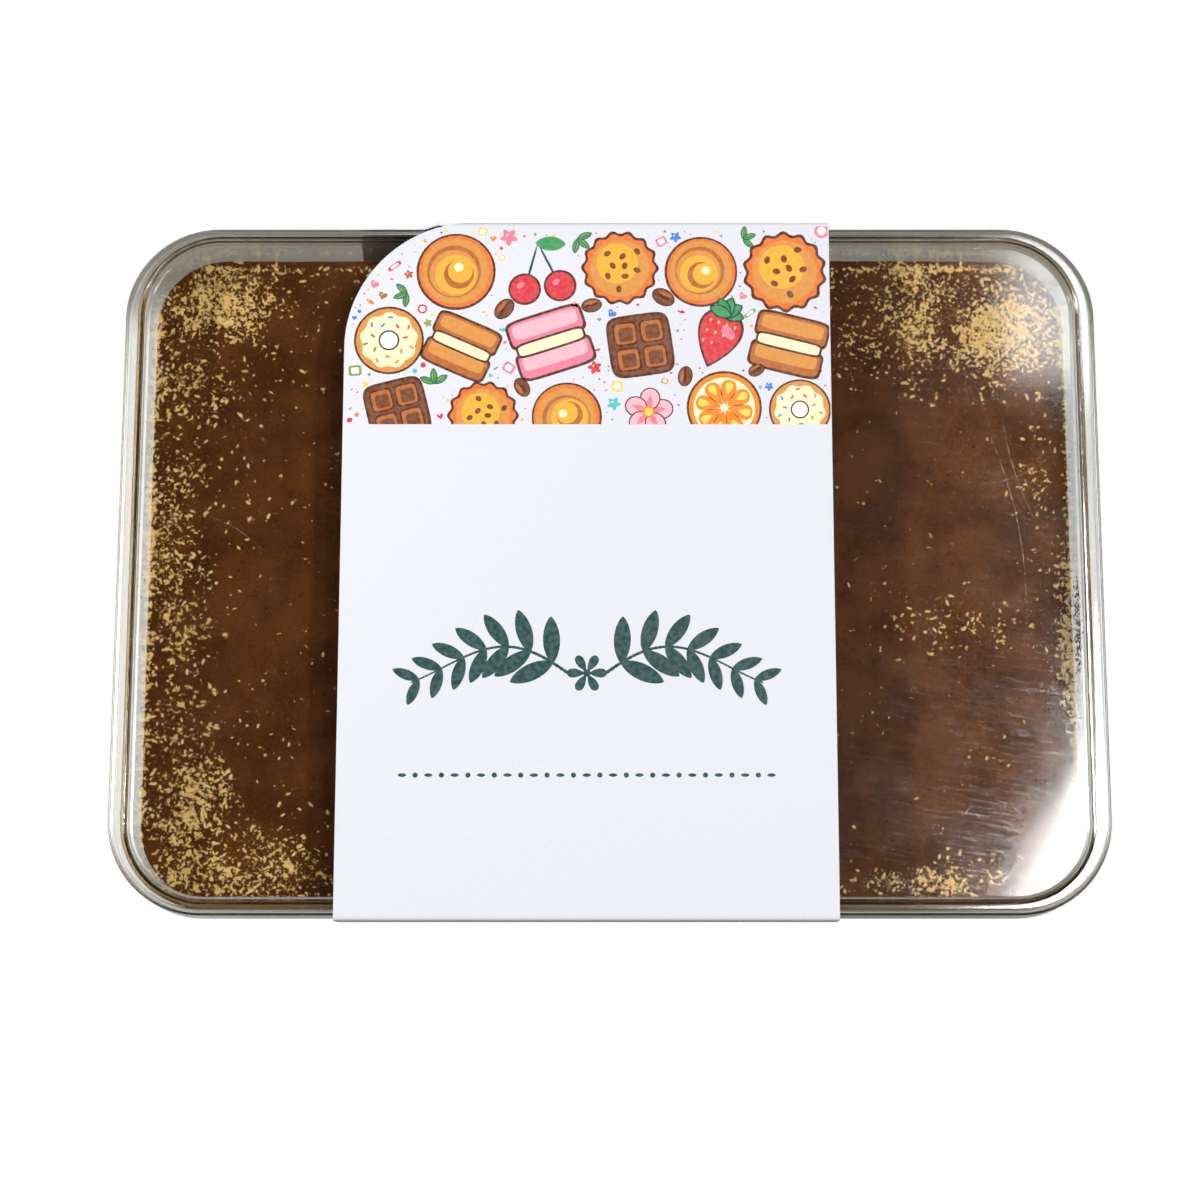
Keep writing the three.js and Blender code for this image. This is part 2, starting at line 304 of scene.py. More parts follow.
@dataclass(frozen=True)
class SoakedSponge:
    """Finger biscuits soaked in coffee: open crumb, with painted shade darkest in its pores."""

    name: str = "finger biscuit, soaked in coffee"
    crumb: str = "#b98149"
    soaked: str = "#6b3d1e"
    pore_shade: str = "#4a2712"
    pore_width: float = 1.3 * MM
    stain_width: float = 11 * MM
    pore_depth: float = 0.5 * MM

    def make(self) -> Material:
        """Builds the material, which reads the height within the layer from the attribute rise.

        Returns:
            The material.
        """
        material, add = new_material(self.name)
        place = add("TexCoord").outputs["Object"]
        rise = add("Attribute", attribute_name="rise").outputs["Fac"]
        pores = add("TexNoise", {"Vector": place, "Scale": 1 / self.pore_width, "Detail": 3.0,
                                 "Roughness": 0.6, "Distortion": 0.5})
        stains = add("TexNoise", {"Vector": place, "Scale": 1 / self.stain_width, "Detail": 3.0,
                                  "Roughness": 0.6})
        wandering = add("Math", {0: stains, 1: 0.9, 2: rise}, operation="MULTIPLY_ADD")
        dryness_and_painted_light = add("MapRange", {"Value": wandering, "From Min": 0.55, "From Max": 1.25}, **SOFT)
        wet = add("Mix", {SHARE: dryness_and_painted_light, FIRST: linear(self.soaked), SECOND: linear(self.crumb)},
                  **COLOURS)
        walls = add("MapRange", {"Value": pores, "From Min": 0.36, "From Max": 0.5}, **SOFT)
        # painted shade: the pores are painted darkest, where shade falls into them
        colour = add("Mix", {SHARE: walls, FIRST: linear(self.pore_shade), SECOND: wet}, **COLOURS)
        relief = add("Bump", {"Height": walls, "Distance": self.pore_depth})
        moist = add("MapRange", {"Value": dryness_and_painted_light, "To Min": 0.45, "To Max": 0.8})
        add("OutputMaterial", {"Surface": add("BsdfPrincipled", {
            "Base Color": colour, "Roughness": moist, "Subsurface Weight": 0.06,
            "Subsurface Scale": self.pore_width, "Normal": relief})})
        return material


@dataclass(frozen=True)
class Card:
    """Folding card: its pulp fibres give it a faint tooth, finest where the face is coated."""

    name: str
    light: str
    dark: str
    fibre_width: float
    tooth_depth: float
    roughness: float
    gloss: float = 0.2
    fibre_slimness: float = 0.35

    def make(self) -> Material:
        """Builds the material.

        Returns:
            The material.
        """
        material, add = new_material(self.name)
        place = add("TexCoord").outputs["Object"]
        drawn = add("Mapping", {"Vector": place, "Scale": (1, self.fibre_slimness, 1)})
        fibres = add("TexNoise", {"Vector": drawn, "Scale": 1 / self.fibre_width, "Detail": 3.0,
                                  "Roughness": 0.6, "Distortion": 0.3})
        tooth = add("MapRange", {"Value": fibres, **WIDE}, **SOFT)
        colour = add("Mix", {SHARE: tooth, FIRST: linear(self.dark), SECOND: linear(self.light)},
                     **COLOURS)
        rough = add("MapRange", {"Value": tooth, "To Min": self.roughness,
                                 "To Max": self.roughness + 0.1})
        relief = add("Bump", {"Height": fibres, "Distance": self.tooth_depth})
        surface = add("BsdfPrincipled", {"Base Color": colour, "Roughness": rough,
                                         "Specular IOR Level": self.gloss, "Normal": relief})
        add("OutputMaterial", {"Surface": surface})
        return material


COATED_CARD = Card("folding card, coated white", "#e1e2e9", "#dddee5", fibre_width=0.35 * MM,
                   tooth_depth=0.004 * MM, roughness=0.5)
GREY_BOARD = Card("folding card, grey back", "#a39d93", "#827c73", fibre_width=0.6 * MM,
                  tooth_depth=0.02 * MM, roughness=0.85)


@dataclass(frozen=True)
class OffsetInk:
    """Offset ink on coated card: flat colours, a touch glossier than the card, faintly uneven."""

    name: str = "offset ink on card"
    mottle_width: float = 1.2 * MM
    roughness: float = 0.42
    show_through: float = 0.05

    def make(self) -> Material:
        """Builds the material, which reads its colour from the attribute ink.

        Returns:
            The material.
        """
        material, add = new_material(self.name)
        place = add("TexCoord").outputs["Object"]
        ink = add("Attribute", attribute_name="ink").outputs["Color"]
        mottle = add("TexNoise", {"Vector": place, "Scale": 1 / self.mottle_width, "Detail": 3.0})
        thin = add("MapRange", {"Value": mottle, **NARROW, "To Max": self.show_through}, **SOFT)
        colour = add("Mix", {SHARE: thin, FIRST: ink, SECOND: linear("#ffffff")}, **COLOURS)
        rough = add("MapRange", {"Value": mottle, **WIDE, "To Min": self.roughness,
                                 "To Max": self.roughness + 0.1})
        add("OutputMaterial", {"Surface": add("BsdfPrincipled", {
            "Base Color": colour, "Roughness": rough, "Specular IOR Level": 0.2})})
        return material


@dataclass(frozen=True)
class DryCrumb:
    """Loose cocoa that caked into crumbs: dark, dull and grainy."""

    name: str = "cocoa crumb, caked"
    light: str = "#643616"
    dark: str = "#331909"
    grain_width: float = 0.2 * MM

    def make(self) -> Material:
        """Builds the material.

        Returns:
            The material.
        """
        material, add = new_material(self.name)
        place = add("TexCoord").outputs["Object"]
        grains = add("TexNoise", {"Vector": place, "Scale": 1 / self.grain_width, "Detail": 3.0})
        lumps = add("MapRange", {"Value": grains, **NARROW}, **SOFT)
        colour = add("Mix", {SHARE: lumps, FIRST: linear(self.dark), SECOND: linear(self.light)},
                     **COLOURS)
        relief = add("Bump", {"Height": lumps, "Distance": self.grain_width / 5})
        add("OutputMaterial", {"Surface": add("BsdfPrincipled", {
            "Base Color": colour, "Roughness": 0.95, "Specular IOR Level": 0.15,
            "Normal": relief})})
        return material


@dataclass(frozen=True)
class CondensedWater:
    """Water condensed from the air: clear beads with a sharp glint."""

    name: str = "water, condensed"

    def make(self) -> Material:
        """Builds the material.

        Returns:
            The material.
        """
        material, add = new_material(self.name)
        water = add("BsdfPrincipled", {"Base Color": linear("#fbfdff"), "IOR": 1.333,
                                       "Transmission Weight": 1.0, "Roughness": 0.02})
        path = add("LightPath")
        mixed = add("MixShader", {0: path.outputs["Is Shadow Ray"], 1: water,
                                  2: add("BsdfTransparent")})
        add("OutputMaterial", {"Surface": mixed})
        return material


@dataclass(frozen=True)
class ScuffedPlastic:
    """A scratch in clear plastic: its torn edges scatter light, so it shows as a pale hair."""

    name: str = "polystyrene, scratched"
    break_width: float = 1.6 * MM
    faintest: float = 0.05
    strongest: float = 0.5

    def make(self) -> Material:
        """Builds the material.

        Returns:
            The material.
        """
        material, add = new_material(self.name)
        place = add("TexCoord").outputs["Object"]
        breaks = add("TexNoise", {"Vector": place, "Scale": 1 / self.break_width, "Detail": 3.0})
        torn = add("MapRange", {"Value": breaks, **NARROW, "To Min": self.faintest,
                                "To Max": self.strongest}, **SOFT)
        pale = add("BsdfPrincipled", {"Base Color": linear("#f4efec"), "Roughness": 0.4})
        mixed = add("MixShader", {0: torn, 1: add("BsdfTransparent"), 2: pale})
        add("OutputMaterial", {"Surface": mixed})
        return material


def everything(bm: BMesh) -> list[Any]:
    """All the vertices, edges and faces of a mesh."""
    return bm.verts[:] + bm.edges[:] + bm.faces[:]


def only(kind: type, items: Iterable[Any]) -> list[Any]:
    """Those of an operator's results that are of one kind, such as the edges."""
    return [item for item in items if isinstance(item, kind)]


def ends_of(edges: Iterable[BMEdge]) -> set[BMVert]:
    """The vertices at the ends of some edges."""
    return {vert for edge in edges for vert in edge.verts}


def rectangle(bm: BMesh, place: Matrix) -> list[BMVert]:
    """Adds a square of two by two units, placed and stretched, and gives its corners."""
    return bmesh.ops.create_grid(bm, x_segments=1, y_segments=1, size=1, matrix=place)["verts"]


def raise_edges(bm: BMesh, edges: list[BMEdge]) -> list[BMEdge]:
    """Adds a strip of faces along some edges, and gives its far edges, which still have to move."""
    return only(BMEdge, bmesh.ops.extrude_edge_only(bm, edges=edges)["geom"])


def finish_piece(bm: BMesh, name: str, finishes: list[Material],
                 sharp: float | None = None) -> Object:
    """Turns a bmesh into an object at the origin.

    Args:
        bm: the shape, in metres, where it belongs. It is freed.
        name: the piece's name.
        finishes: its materials, in the order of its faces' material numbers.
        sharp: angle in degrees above which an edge stays sharp, or None to round them all.

    Returns:
        The new object.
    """
    mesh = bpy.data.meshes.new(name)
    bm.to_mesh(mesh)
    bm.free()
    for finish in finishes:
        mesh.materials.append(finish)
    mesh.shade_smooth()
    if sharp is not None:
        mesh.set_sharp_from_angle(angle=math.radians(sharp))
    piece = bpy.data.objects.new(name, mesh)
    bpy.context.scene.collection.objects.link(piece)
    return piece


def flatten_flats(piece: Object) -> Object:
    """Lets a piece's wide faces keep their own direction, so that they mirror as flat walls do.

    Args:
        piece: the piece.

    Returns:
        The same piece.
    """
    flats = piece.modifiers.new("flat faces", "WEIGHTED_NORMAL")
    flats.mode = "FACE_AREA"
    flats.weight = 100
    flats.keep_sharp = True
    return piece


def hand_over(piece: Object, slot: Slot, *nodes: str) -> Object:
    """Lets a piece ride on the box in place of some of the frame's nodes, which it hides.

    Args:
        piece: the piece.
        slot: not used.
        nodes: the frame's nodes that it replaces.

    Returns:
        The same piece.
    """
    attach(piece, ROOT)
    if nodes:
        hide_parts(*nodes)
    piece.data.calc_loop_triangles()
    log.info("%s: %d triangles", piece.name, len(piece.data.loop_triangles))
    return piece


@dataclass(frozen=True)
class Bend:
    """One bend of a moulded wall, as its section shows it.

    inset is how far it lies in from the box's outline along X, lean the share of the outline's
    side_lean that the long sides lie further out, and radius how round the bend is.
    """

    inset: float
    height: float
    radius: float = 0.0
    lean: float = 1.0
    steps: int = 4


@dataclass(frozen=True)
class Outline:
    """The box's rounded outline from above, which every wall is drawn in from.

    The frame's own filling has corner_count, short_count and long_count steps in each corner,
    short side and long side.
    """

    half_x: float
    half_y: float
    corner: float = 23 * MM
    side_lean: float = 1.2 * MM
    least_corner: float = 1 * MM
    corner_count: int = 5
    short_count: int = 20
    long_count: int = 32

    def halves(self, inset: float, lean: float = 1.0) -> tuple[float, float, float]:
        """Half length, half width and corner radius of the outline drawn in by inset.

        Args:
            inset: how far in, on the short walls.
            lean: how much of the long walls' own lean counts.

        Returns:
            The three measures.
        """
        inset_y = inset - lean * self.side_lean
        radius = max(self.corner - (inset + inset_y) / 2, self.least_corner)
        return self.half_x - inset, self.half_y - inset_y, radius

    def ring(self, bm: BMesh, bend: Bend, corner_steps: int = 18,
             spacing: float | None = None) -> list[BMEdge]:
        """Adds the outline, drawn in to a bend, as a closed ring of edges.

        Args:
            bm: the mesh that gets the ring.
            bend: where the ring lies.
            corner_steps: edges in each rounded corner.
            spacing: length of the edges along the straight stretches, or None for one edge each.

        Returns:
            The ring's edges.
        """
        half_x, half_y, radius = self.halves(bend.inset, bend.lean)
        place = Matrix.Translation((0, 0, bend.height)) @ Matrix.Diagonal((half_x, half_y, 1, 1))
        made = bmesh.ops.bevel(bm, geom=rectangle(bm, place), offset=radius, offset_type="OFFSET",
                               profile=0.5, segments=corner_steps, affect="VERTICES", material=-1)
        face = made["verts"][0].link_faces[0]
        edges = list(face.edges)
        bmesh.ops.delete(bm, geom=[face], context="FACES_ONLY")
        if spacing:
            for edge in [e for e in edges if e.calc_length() > 2 * spacing]:
                cuts = max(round(edge.calc_length() / spacing) - 1, 1)
                bmesh.ops.subdivide_edges(bm, edges=[edge], cuts=cuts)
        return closed_ring(edges[0].verts[0])

    def corner_middle(self) -> tuple[float, float]:
        """Middle of the wall's curve in the back right-hand corner."""
        return (self.half_x - self.corner - self.side_lean / 2,
                self.half_y - self.corner + self.side_lean / 2)

    def outward(self, place: Vector) -> Vector:
        """The level direction from the inside of the box out through a place on its wall.

        Args:
            place: the place.

        Returns:
            The direction, one unit long.
        """
        middle_x, middle_y = self.corner_middle()
        out = Vector((max(abs(place.x) - middle_x, 0) * math.copysign(1, place.x),
                      max(abs(place.y) - middle_y, 0) * math.copysign(1, place.y), 0))
        return out.normalized()

    def share_round(self, x: float, y: float) -> float:
        """How far round the filling a point lies, counted in the frame's own steps.

        Args:
            x, y: the place.

        Returns:
            A share from 0 to 1, from the front end of the right-hand wall, towards the back.
        """
        middle_x, middle_y = self.corner_middle()
        side_x, side_y = math.copysign(1, x), math.copysign(1, y)
        over_x, over_y = abs(x) - middle_x, abs(y) - middle_y
        back_corner = self.corner_count + self.short_count
        back_side = back_corner + self.corner_count
        half_round = back_side + self.long_count
        if over_x > 0 and over_y > 0:
            angle = math.atan2(over_y, over_x) / (math.pi / 2)
            start = (0 if side_x > 0 else half_round) + (back_corner if side_x == side_y else 0)
            steps = start + self.corner_count * (angle if side_x == side_y else 1 - angle)
        elif over_x > over_y:
            along = (1 + side_x * y / middle_y) / 2
            start = self.corner_count + (0 if x > 0 else half_round)
            steps = start + self.short_count * min(max(along, 0), 1)
        else:
            along = (1 - side_y * x / middle_x) / 2
            start = back_side + (0 if y > 0 else half_round)
            steps = start + self.long_count * min(max(along, 0), 1)
        return steps / (2 * half_round)


def closed_ring(start: BMVert) -> list[BMEdge]:
    """The edges of the closed wire that passes through a vertex, in order.

    Args:
        start: the vertex.

    Returns:
        The edges.
    """
    ring = []
    vert, edge = start, start.link_edges[0]
    while edge not in ring[:1]:
        ring.append(edge)
        vert = edge.other_vert(vert)
        edge = next(e for e in vert.link_edges if e is not edge and e != edge)
    return ring


def mould(outline: Outline, bends: list[Bend]) -> BMesh:
    """Makes a moulded shell from its section.

    Args:
        outline: the outline that the section follows round.
        bends: the section, from the middle of the underside out and back to the middle on top.

    Returns:
        A closed mesh with its faces pointing out.
    """
    bm = bmesh.new()
    rings = [outline.ring(bm, replace(bend, height=float(step))) for step, bend in enumerate(bends)]
    for lower, upper in zip(rings, rings[1:]):
        bmesh.ops.bridge_loops(bm, edges=lower + upper)
    for vert in bm.verts:
        vert.co.z = bends[round(vert.co.z)].height
    for end in (rings[0], rings[-1]):
        bmesh.ops.edgeloop_fill(bm, edges=end)
    for bend, ring in zip(bends, rings):
        if bend.radius:
            bmesh.ops.bevel(bm, geom=ring, offset=bend.radius, offset_type="OFFSET", profile=0.5,
                            segments=bend.steps, affect="EDGES", clamp_overlap=True, material=-1)
    bmesh.ops.recalc_face_normals(bm, faces=bm.faces[:])
    return bm


@dataclass(frozen=True)
class TrayWall:
    """The inner face of the tray's wall, which the filling follows."""

    floor: float
    fill: float
    rim: float
    floor_inset: float = 8.4 * MM
    fill_inset: float = 6 * MM
    mouth_inset: float = 4.5 * MM

    def inset(self, height: float) -> float:
        """How far in from the outline the wall stands at a height.

        Args:
            height: the height above the table.

        Returns:
            The distance in.
        """
        if height >= self.fill:
            share = (height - self.fill) / (self.rim - self.fill)
            return self.fill_inset + share * (self.mouth_inset - self.fill_inset)
        share = (height - self.floor) / (self.fill - self.floor)
        return self.floor_inset + share * (self.fill_inset - self.floor_inset)


@dataclass
class Tray:
    """The clear tray: rounded floor corner, leaning wall and flat rim."""

    outline: Outline
    wall: TrayWall
    plastic: Material
    thickness: float = TRAY_THICKNESS
    rim_thickness: float = 1.1 * MM
    rim_inset: float = 1.8 * MM
    floor_fillet: float = 6 * MM
    lip_round: float = 0.45 * MM

    def build(self) -> Object:
        """Moulds the tray and puts it in the frame.

        Returns:
            The finished piece.
        """
        wall = self.wall
        under = wall.rim - self.rim_thickness
        bends = [
            Bend(wall.floor_inset - self.thickness, wall.floor - self.thickness,
                 self.floor_fillet + self.thickness, steps=10),
            Bend(wall.fill_inset - self.thickness, wall.fill),
            Bend(wall.inset(under) - self.thickness, under, self.lip_round / 2),
            Bend(self.rim_inset, under, self.lip_round / 2, lean=0),
            Bend(self.rim_inset, wall.rim, self.lip_round, lean=0),
            Bend(wall.mouth_inset, wall.rim, self.lip_round),
            Bend(wall.fill_inset, wall.fill),
            Bend(wall.floor_inset, wall.floor, self.floor_fillet, steps=10),
        ]
        piece = finish_piece(mould(self.outline, bends), "tray_clear", [self.plastic], sharp=40)
        return hand_over(flatten_flats(piece), Slot.CLEAR, "tray")


@dataclass
class Lid:
    """The clear lid: panel, step, raised ridge over the tray's rim, and skirt."""

    outline: Outline
    plastic: Material
    skirt_bottom: float
    ridge_top: float
    thickness: float = 0.8 * MM
    panel_drop: float = 2.4 * MM
    skirt_lean: float = 0.5 * MM
    ridge_inside: float = 4.9 * MM
    panel_inset: float = 5.7 * MM
    plug_inset: float = 4.95 * MM
    plug_top_inset: float = 4.2 * MM
    ridge_round: float = 1.6 * MM
    step_round: float = 0.55 * MM

    def build(self) -> Object:
        """Moulds the lid and puts it in the frame.

        Returns:
            The finished piece.
        """
        wall = self.thickness
        panel = self.ridge_top - self.panel_drop
        small = wall / 4
        bends = [
            Bend(self.plug_inset, panel - wall, self.step_round / 2),
            Bend(self.plug_top_inset, self.ridge_top - wall, self.step_round / 3),
            Bend(self.skirt_lean + wall, self.ridge_top - wall, self.ridge_round / 2, lean=0),
            Bend(wall, self.skirt_bottom, small, lean=0, steps=3),
            Bend(0, self.skirt_bottom, small, lean=0, steps=3),
            Bend(self.skirt_lean, self.ridge_top, self.ridge_round, lean=0, steps=8),
            Bend(self.ridge_inside, self.ridge_top, self.step_round, steps=6),
            Bend(self.panel_inset, panel, self.step_round, steps=6),
        ]
        piece = finish_piece(mould(self.outline, bends), "lid_clear", [self.plastic], sharp=40)
        return hand_over(flatten_flats(piece), Slot.CLEAR, "lid")


@dataclass
class LayerEdge:
    """The wavy line along the wall where two layers of the filling meet."""

    level: float
    phase: float = 0.0
    finger_height: float = 0.7 * MM
    slow_height: float = 0.5 * MM
    fingers_round: int = 31
    slow_waves: int = 7

    def height(self, share: float) -> float:
        """Height of the line at a share of the way round.

        Args:
            share: how far round, from 0 to 1.

        Returns:
            The height above the table.
        """
        turn = 2 * math.pi * share
        return (self.level + self.finger_height * math.cos(self.fingers_round * turn)
                + self.slow_height * math.sin(self.slow_waves * turn + self.phase))


@dataclass
class FillLayer:
    """One layer of the filling, pressed against the tray's wall."""

    name: str
    node: str
    slot: Slot
    finish: Material
    outline: Outline
    wall: TrayWall
    low: LayerEdge
    high: LayerEdge
    floor_fillet: float = 0.0
    into_wall: float = 0.12 * MM
    flat_inset: float = 9 * MM
    spacing: float = 1.3 * MM
    row_height: float = 0.9 * MM
    least_rows: int = 4
    corner_steps: int = 26
    into_corner: float = 0.12 * MM

    def build(self) -> Object:
        """Raises the layer's side row by row, closes it top and bottom, and puts it in place.

        Returns:
            The finished piece.
        """
        bm = bmesh.new()
        rise = bm.verts.layers.float.new("rise")
        start = Bend(self.wall.inset(self.low.level), 0)
        ring = bottom = self.outline.ring(bm, start, self.corner_steps, self.spacing)
        homes = {vert: vert.co.copy() for vert in ends_of(ring)}
        depth = self.high.level - self.low.level
        rows = max(round(depth / self.row_height), self.least_rows)
        for row in range(rows + 1):
            if row:
                ring = raise_edges(bm, ring)
                homes = {vert: home_below(vert, homes) for vert in ends_of(ring)}
            for vert, home in homes.items():
                vert[rise] = row / rows
                self.place(vert, home, row / rows)
        self.close(bm, bottom, self.low, 0.0, rise)
        self.close(bm, ring, self.high, 1.0, rise)
        bmesh.ops.recalc_face_normals(bm, faces=bm.faces[:])
        piece = finish_piece(bm, self.name, [self.finish], sharp=60)
        return hand_over(piece, self.slot, self.node)

    def place(self, vert: BMVert, home: Vector, share: float) -> None:
        """Moves a vertex of the side to its height and just into the wall.

        Args:
            vert: the vertex.
            home: its place on the ring that the side starts from.
            share: how far up the layer it lies, 0 to 1.
        """
        round_share = self.outline.share_round(home.x, home.y)
        low, high = self.low.height(round_share), self.high.height(round_share)
        height = low + share * (high - low)
        start = self.wall.inset(self.low.level)
        inset = self.wall.inset(height) - self.into_wall
        above_floor = height - self.wall.floor
        if self.floor_fillet and above_floor < self.floor_fillet:
            reach = self.floor_fillet - above_floor
            inset += self.floor_fillet - math.sqrt(max(self.floor_fillet ** 2 - reach ** 2, 0))
            inset -= self.into_corner
        outward = self.outline.outward(home)
        vert.co = Vector((home.x, home.y, height)) + outward * (start - inset)

    def close(self, bm: BMesh, ring: list[BMEdge], edge: LayerEdge,
              share: float, rise: Any) -> None:
        """Draws one end of the side in to a level ring and closes it with a face.

        Args:
            bm: the mesh.
            ring: the side's edges at that end.
            edge: the line that the end lies on.
            share: that end's height within the layer, from 0 to 1.
            rise: the data layer that keeps it.
        """
        inner = raise_edges(bm, ring)
        for vert in ends_of(inner):
            vert.co -= self.outline.outward(vert.co) * self.flat_inset
            vert.co.z = edge.level
            vert[rise] = share
        bmesh.ops.edgeloop_fill(bm, edges=inner)


@dataclass
class Filling:
    """The filling under the cocoa: sponge, cream, sponge and cream, up from the tray's floor.

    The levels are where each layer but the lowest starts.
    """

    outline: Outline
    wall: TrayWall
    top: float
    sponge: Material
    cream: Material
    first_cream: float = 11.65 * MM
    second_sponge: float = 19.75 * MM
    second_cream: float = 28.15 * MM
    into_floor: float = 0.12 * MM
    floor_fillet: float = 6 * MM

    def build(self) -> None:
        """Builds the layers from the floor up, with a phase of its own for each wavy line."""
        floor = LayerEdge(self.wall.floor - self.into_floor, finger_height=0, slow_height=0)
        first = LayerEdge(self.first_cream, 0)
        second = LayerEdge(self.second_sponge, 2)
        third = LayerEdge(self.second_cream, 4)
        top = LayerEdge(self.top, finger_height=0, slow_height=0)
        for name, node, slot, finish, low, high, fillet in (
                ("sponge_bottom", "sponge_lower", Slot.SPONGE, self.sponge, floor, first,
                 self.floor_fillet),
                ("cream_bottom", "cream_lower", Slot.CREAM, self.cream, first, second, 0),
                ("sponge_top", "sponge_upper", Slot.SPONGE, self.sponge, second, third, 0),
                ("cream_top", "cream_upper", Slot.CREAM, self.cream, third, top, 0)):
            FillLayer(name, node, slot, finish, self.outline, self.wall, low, high,
                      floor_fillet=fillet).build()


def home_below(vert: BMVert, homes: dict[BMVert, Vector]) -> Vector:
    """The starting place of the vertex that this one was raised from."""
    return next(homes[edge.other_vert(vert)] for edge in vert.link_edges
                if edge.other_vert(vert) in homes)


@dataclass(frozen=True)
class BarePatch:
    """A place where the cocoa lies thin: its middle and reach in millimetres, and how bare it is."""

    x: float
    y: float
    reach_x: float
    reach_y: float
    strength: float

    def at(self, x: float, y: float) -> float:
        """How bare the patch makes a place, fading out to its reach.

        Args:
            x, y: the place.

        Returns:
            How bare it is there.
        """
        off_x = (x - self.x * MM) / (self.reach_x * MM)
        off_y = (y - self.y * MM) / (self.reach_y * MM)
        return self.strength * math.exp(-(off_x ** 2 + off_y ** 2))


@dataclass
class CocoaBed:
    """The sifted cocoa on top, lumpy, with cream showing through where it lies thin."""

    outline: Outline
    wall: TrayWall
    finish: Material
    top: float
    bottom: float
    columns: int = 316
    rows: int = 222
    into_wall: float = 0.12 * MM
    swell_height: float = 0.2 * MM
    swell_x: float = 13 * MM
    swell_y: float = 9 * MM
    lump_width: float = 3 * MM
    lump_height: float = 0.22 * MM
    clot_width: float = 1.5 * MM
    clot_height: float = 0.14 * MM
    cloud_width: float = 9 * MM
    cloud_weight: float = 0.34
    patches: tuple[BarePatch, ...] = (
        BarePatch(101, 63, 17, 14, 1.0),
        BarePatch(82, 73, 20, 9, 0.7),
        BarePatch(-101, 68, 16, 10, 0.8),
        BarePatch(-107, 48, 12, 17, 0.44),
        BarePatch(-108, 0, 9, 62, 0.42),
        BarePatch(-103, -56, 11, 15, 0.66),
        BarePatch(-90, -73, 24, 9, 0.62),
        BarePatch(84, -13, 17, 7, 0.33),
        BarePatch(76, 64, 17, 14, 0.68),
        BarePatch(80, -77, 18, 5, 0.62),
        BarePatch(107, 26, 5, 16, 0.3),
        BarePatch(112.6, -20, 2.2, 24, 0.8),
    )
    sparse: float = 0.14
    sparse_right: float = 0.8
    cloud_swing: float = 1.6
    clot_swing: float = 0.5
    barest: float = 1.1
    wall_line: float = 0.9 * MM
    wall_line_strength: float = 0.75
    painted_back_reflection: float = 2.1 * MM
    painted_back_reflection_width: float = 0.8 * MM
    painted_back_reflection_strength: float = 0.5

    def build(self) -> Object:
        """Lays the bed as a fine grid, shapes its top, closes it below and puts it in place.

        Returns:
            The finished piece.
        """
        bm = bmesh.new()
        bare = bm.verts.layers.float.new("bare")
        bmesh.ops.create_grid(bm, x_segments=self.columns, y_segments=self.rows, size=1)
        half_x, half_y, radius = self.outline.halves(self.wall.inset(self.top) - self.into_wall)
        for vert in bm.verts:
            y = vert.co.y * half_y
            x = vert.co.x * self.half_length_at(y, half_x, half_y, radius)
            vert[bare] = self.bareness(x, y, half_x - abs(x), half_y - y)
            vert.co = (x, y, self.height(x, y, vert[bare]))
        lower = raise_edges(bm, [edge for edge in bm.edges if edge.is_boundary])
        for vert in ends_of(lower):
            vert.co.z = self.bottom
        bmesh.ops.edgeloop_fill(bm, edges=lower)
        bmesh.ops.recalc_face_normals(bm, faces=bm.faces[:])
        piece = finish_piece(bm, "cocoa_top", [self.finish], sharp=60)
        return hand_over(piece, Slot.COCOA, "cocoa_dusting")

    @staticmethod
    def half_length_at(y: float, half_x: float, half_y: float, radius: float) -> float:
        """Half the bed's length across a line at y, shorter in the rounded corners."""
        over = max(abs(y) - (half_y - radius), 0)
        return half_x - radius + math.sqrt(max(radius ** 2 - over ** 2, 0))

    def bareness(self, x: float, y: float, from_end: float, from_back: float) -> float:
        """How much cream shows at a place, from 0 for none up to barest, with a painted reflection
        along the back wall.

        Args:
            x, y: the place.
            from_end: distance from the nearer short wall.
            from_back: distance from the back wall.

        Returns:
            The bareness that the finish reads.
        """
        cloud = noise.noise(Vector((x, y, 0.03)) / self.cloud_width)
        small = noise.noise(Vector((y, x, 0.05)) / self.clot_width / 2)
        total = max(patch.at(x, y) for patch in self.patches)
        total += self.sparse * (1 if x < 0 else self.sparse_right)
        total += total * self.cloud_weight * (cloud * self.cloud_swing + small * self.clot_swing)
        total += self.wall_line_strength * math.exp(-(from_end / self.wall_line) ** 2)
        # painted reflection: a pale line of cream colour 2.1 mm in front of the back wall
        off_line = (from_back - self.painted_back_reflection) / self.painted_back_reflection_width
        total += self.painted_back_reflection_strength * math.exp(-off_line ** 2)
        return min(max(total, 0), self.barest)

    def height(self, x: float, y: float, bare: float) -> float:
        """Height of the top at a place.

        Args:
            x, y: the place.
            bare: how bare the bed is there.

        Returns:
            The height above the table.
        """
        swell = self.swell_height * math.sin(x / self.swell_x + 1) * math.cos(y / self.swell_y)
        lumps = self.lump_height * noise.noise(Vector((x, y, 0.011)) / self.lump_width)
        clots = self.clot_height * noise.noise(Vector((x, y, 0.023)) / self.clot_width)
        return self.top - self.swell_height + swell + lumps + clots * (1 + bare)


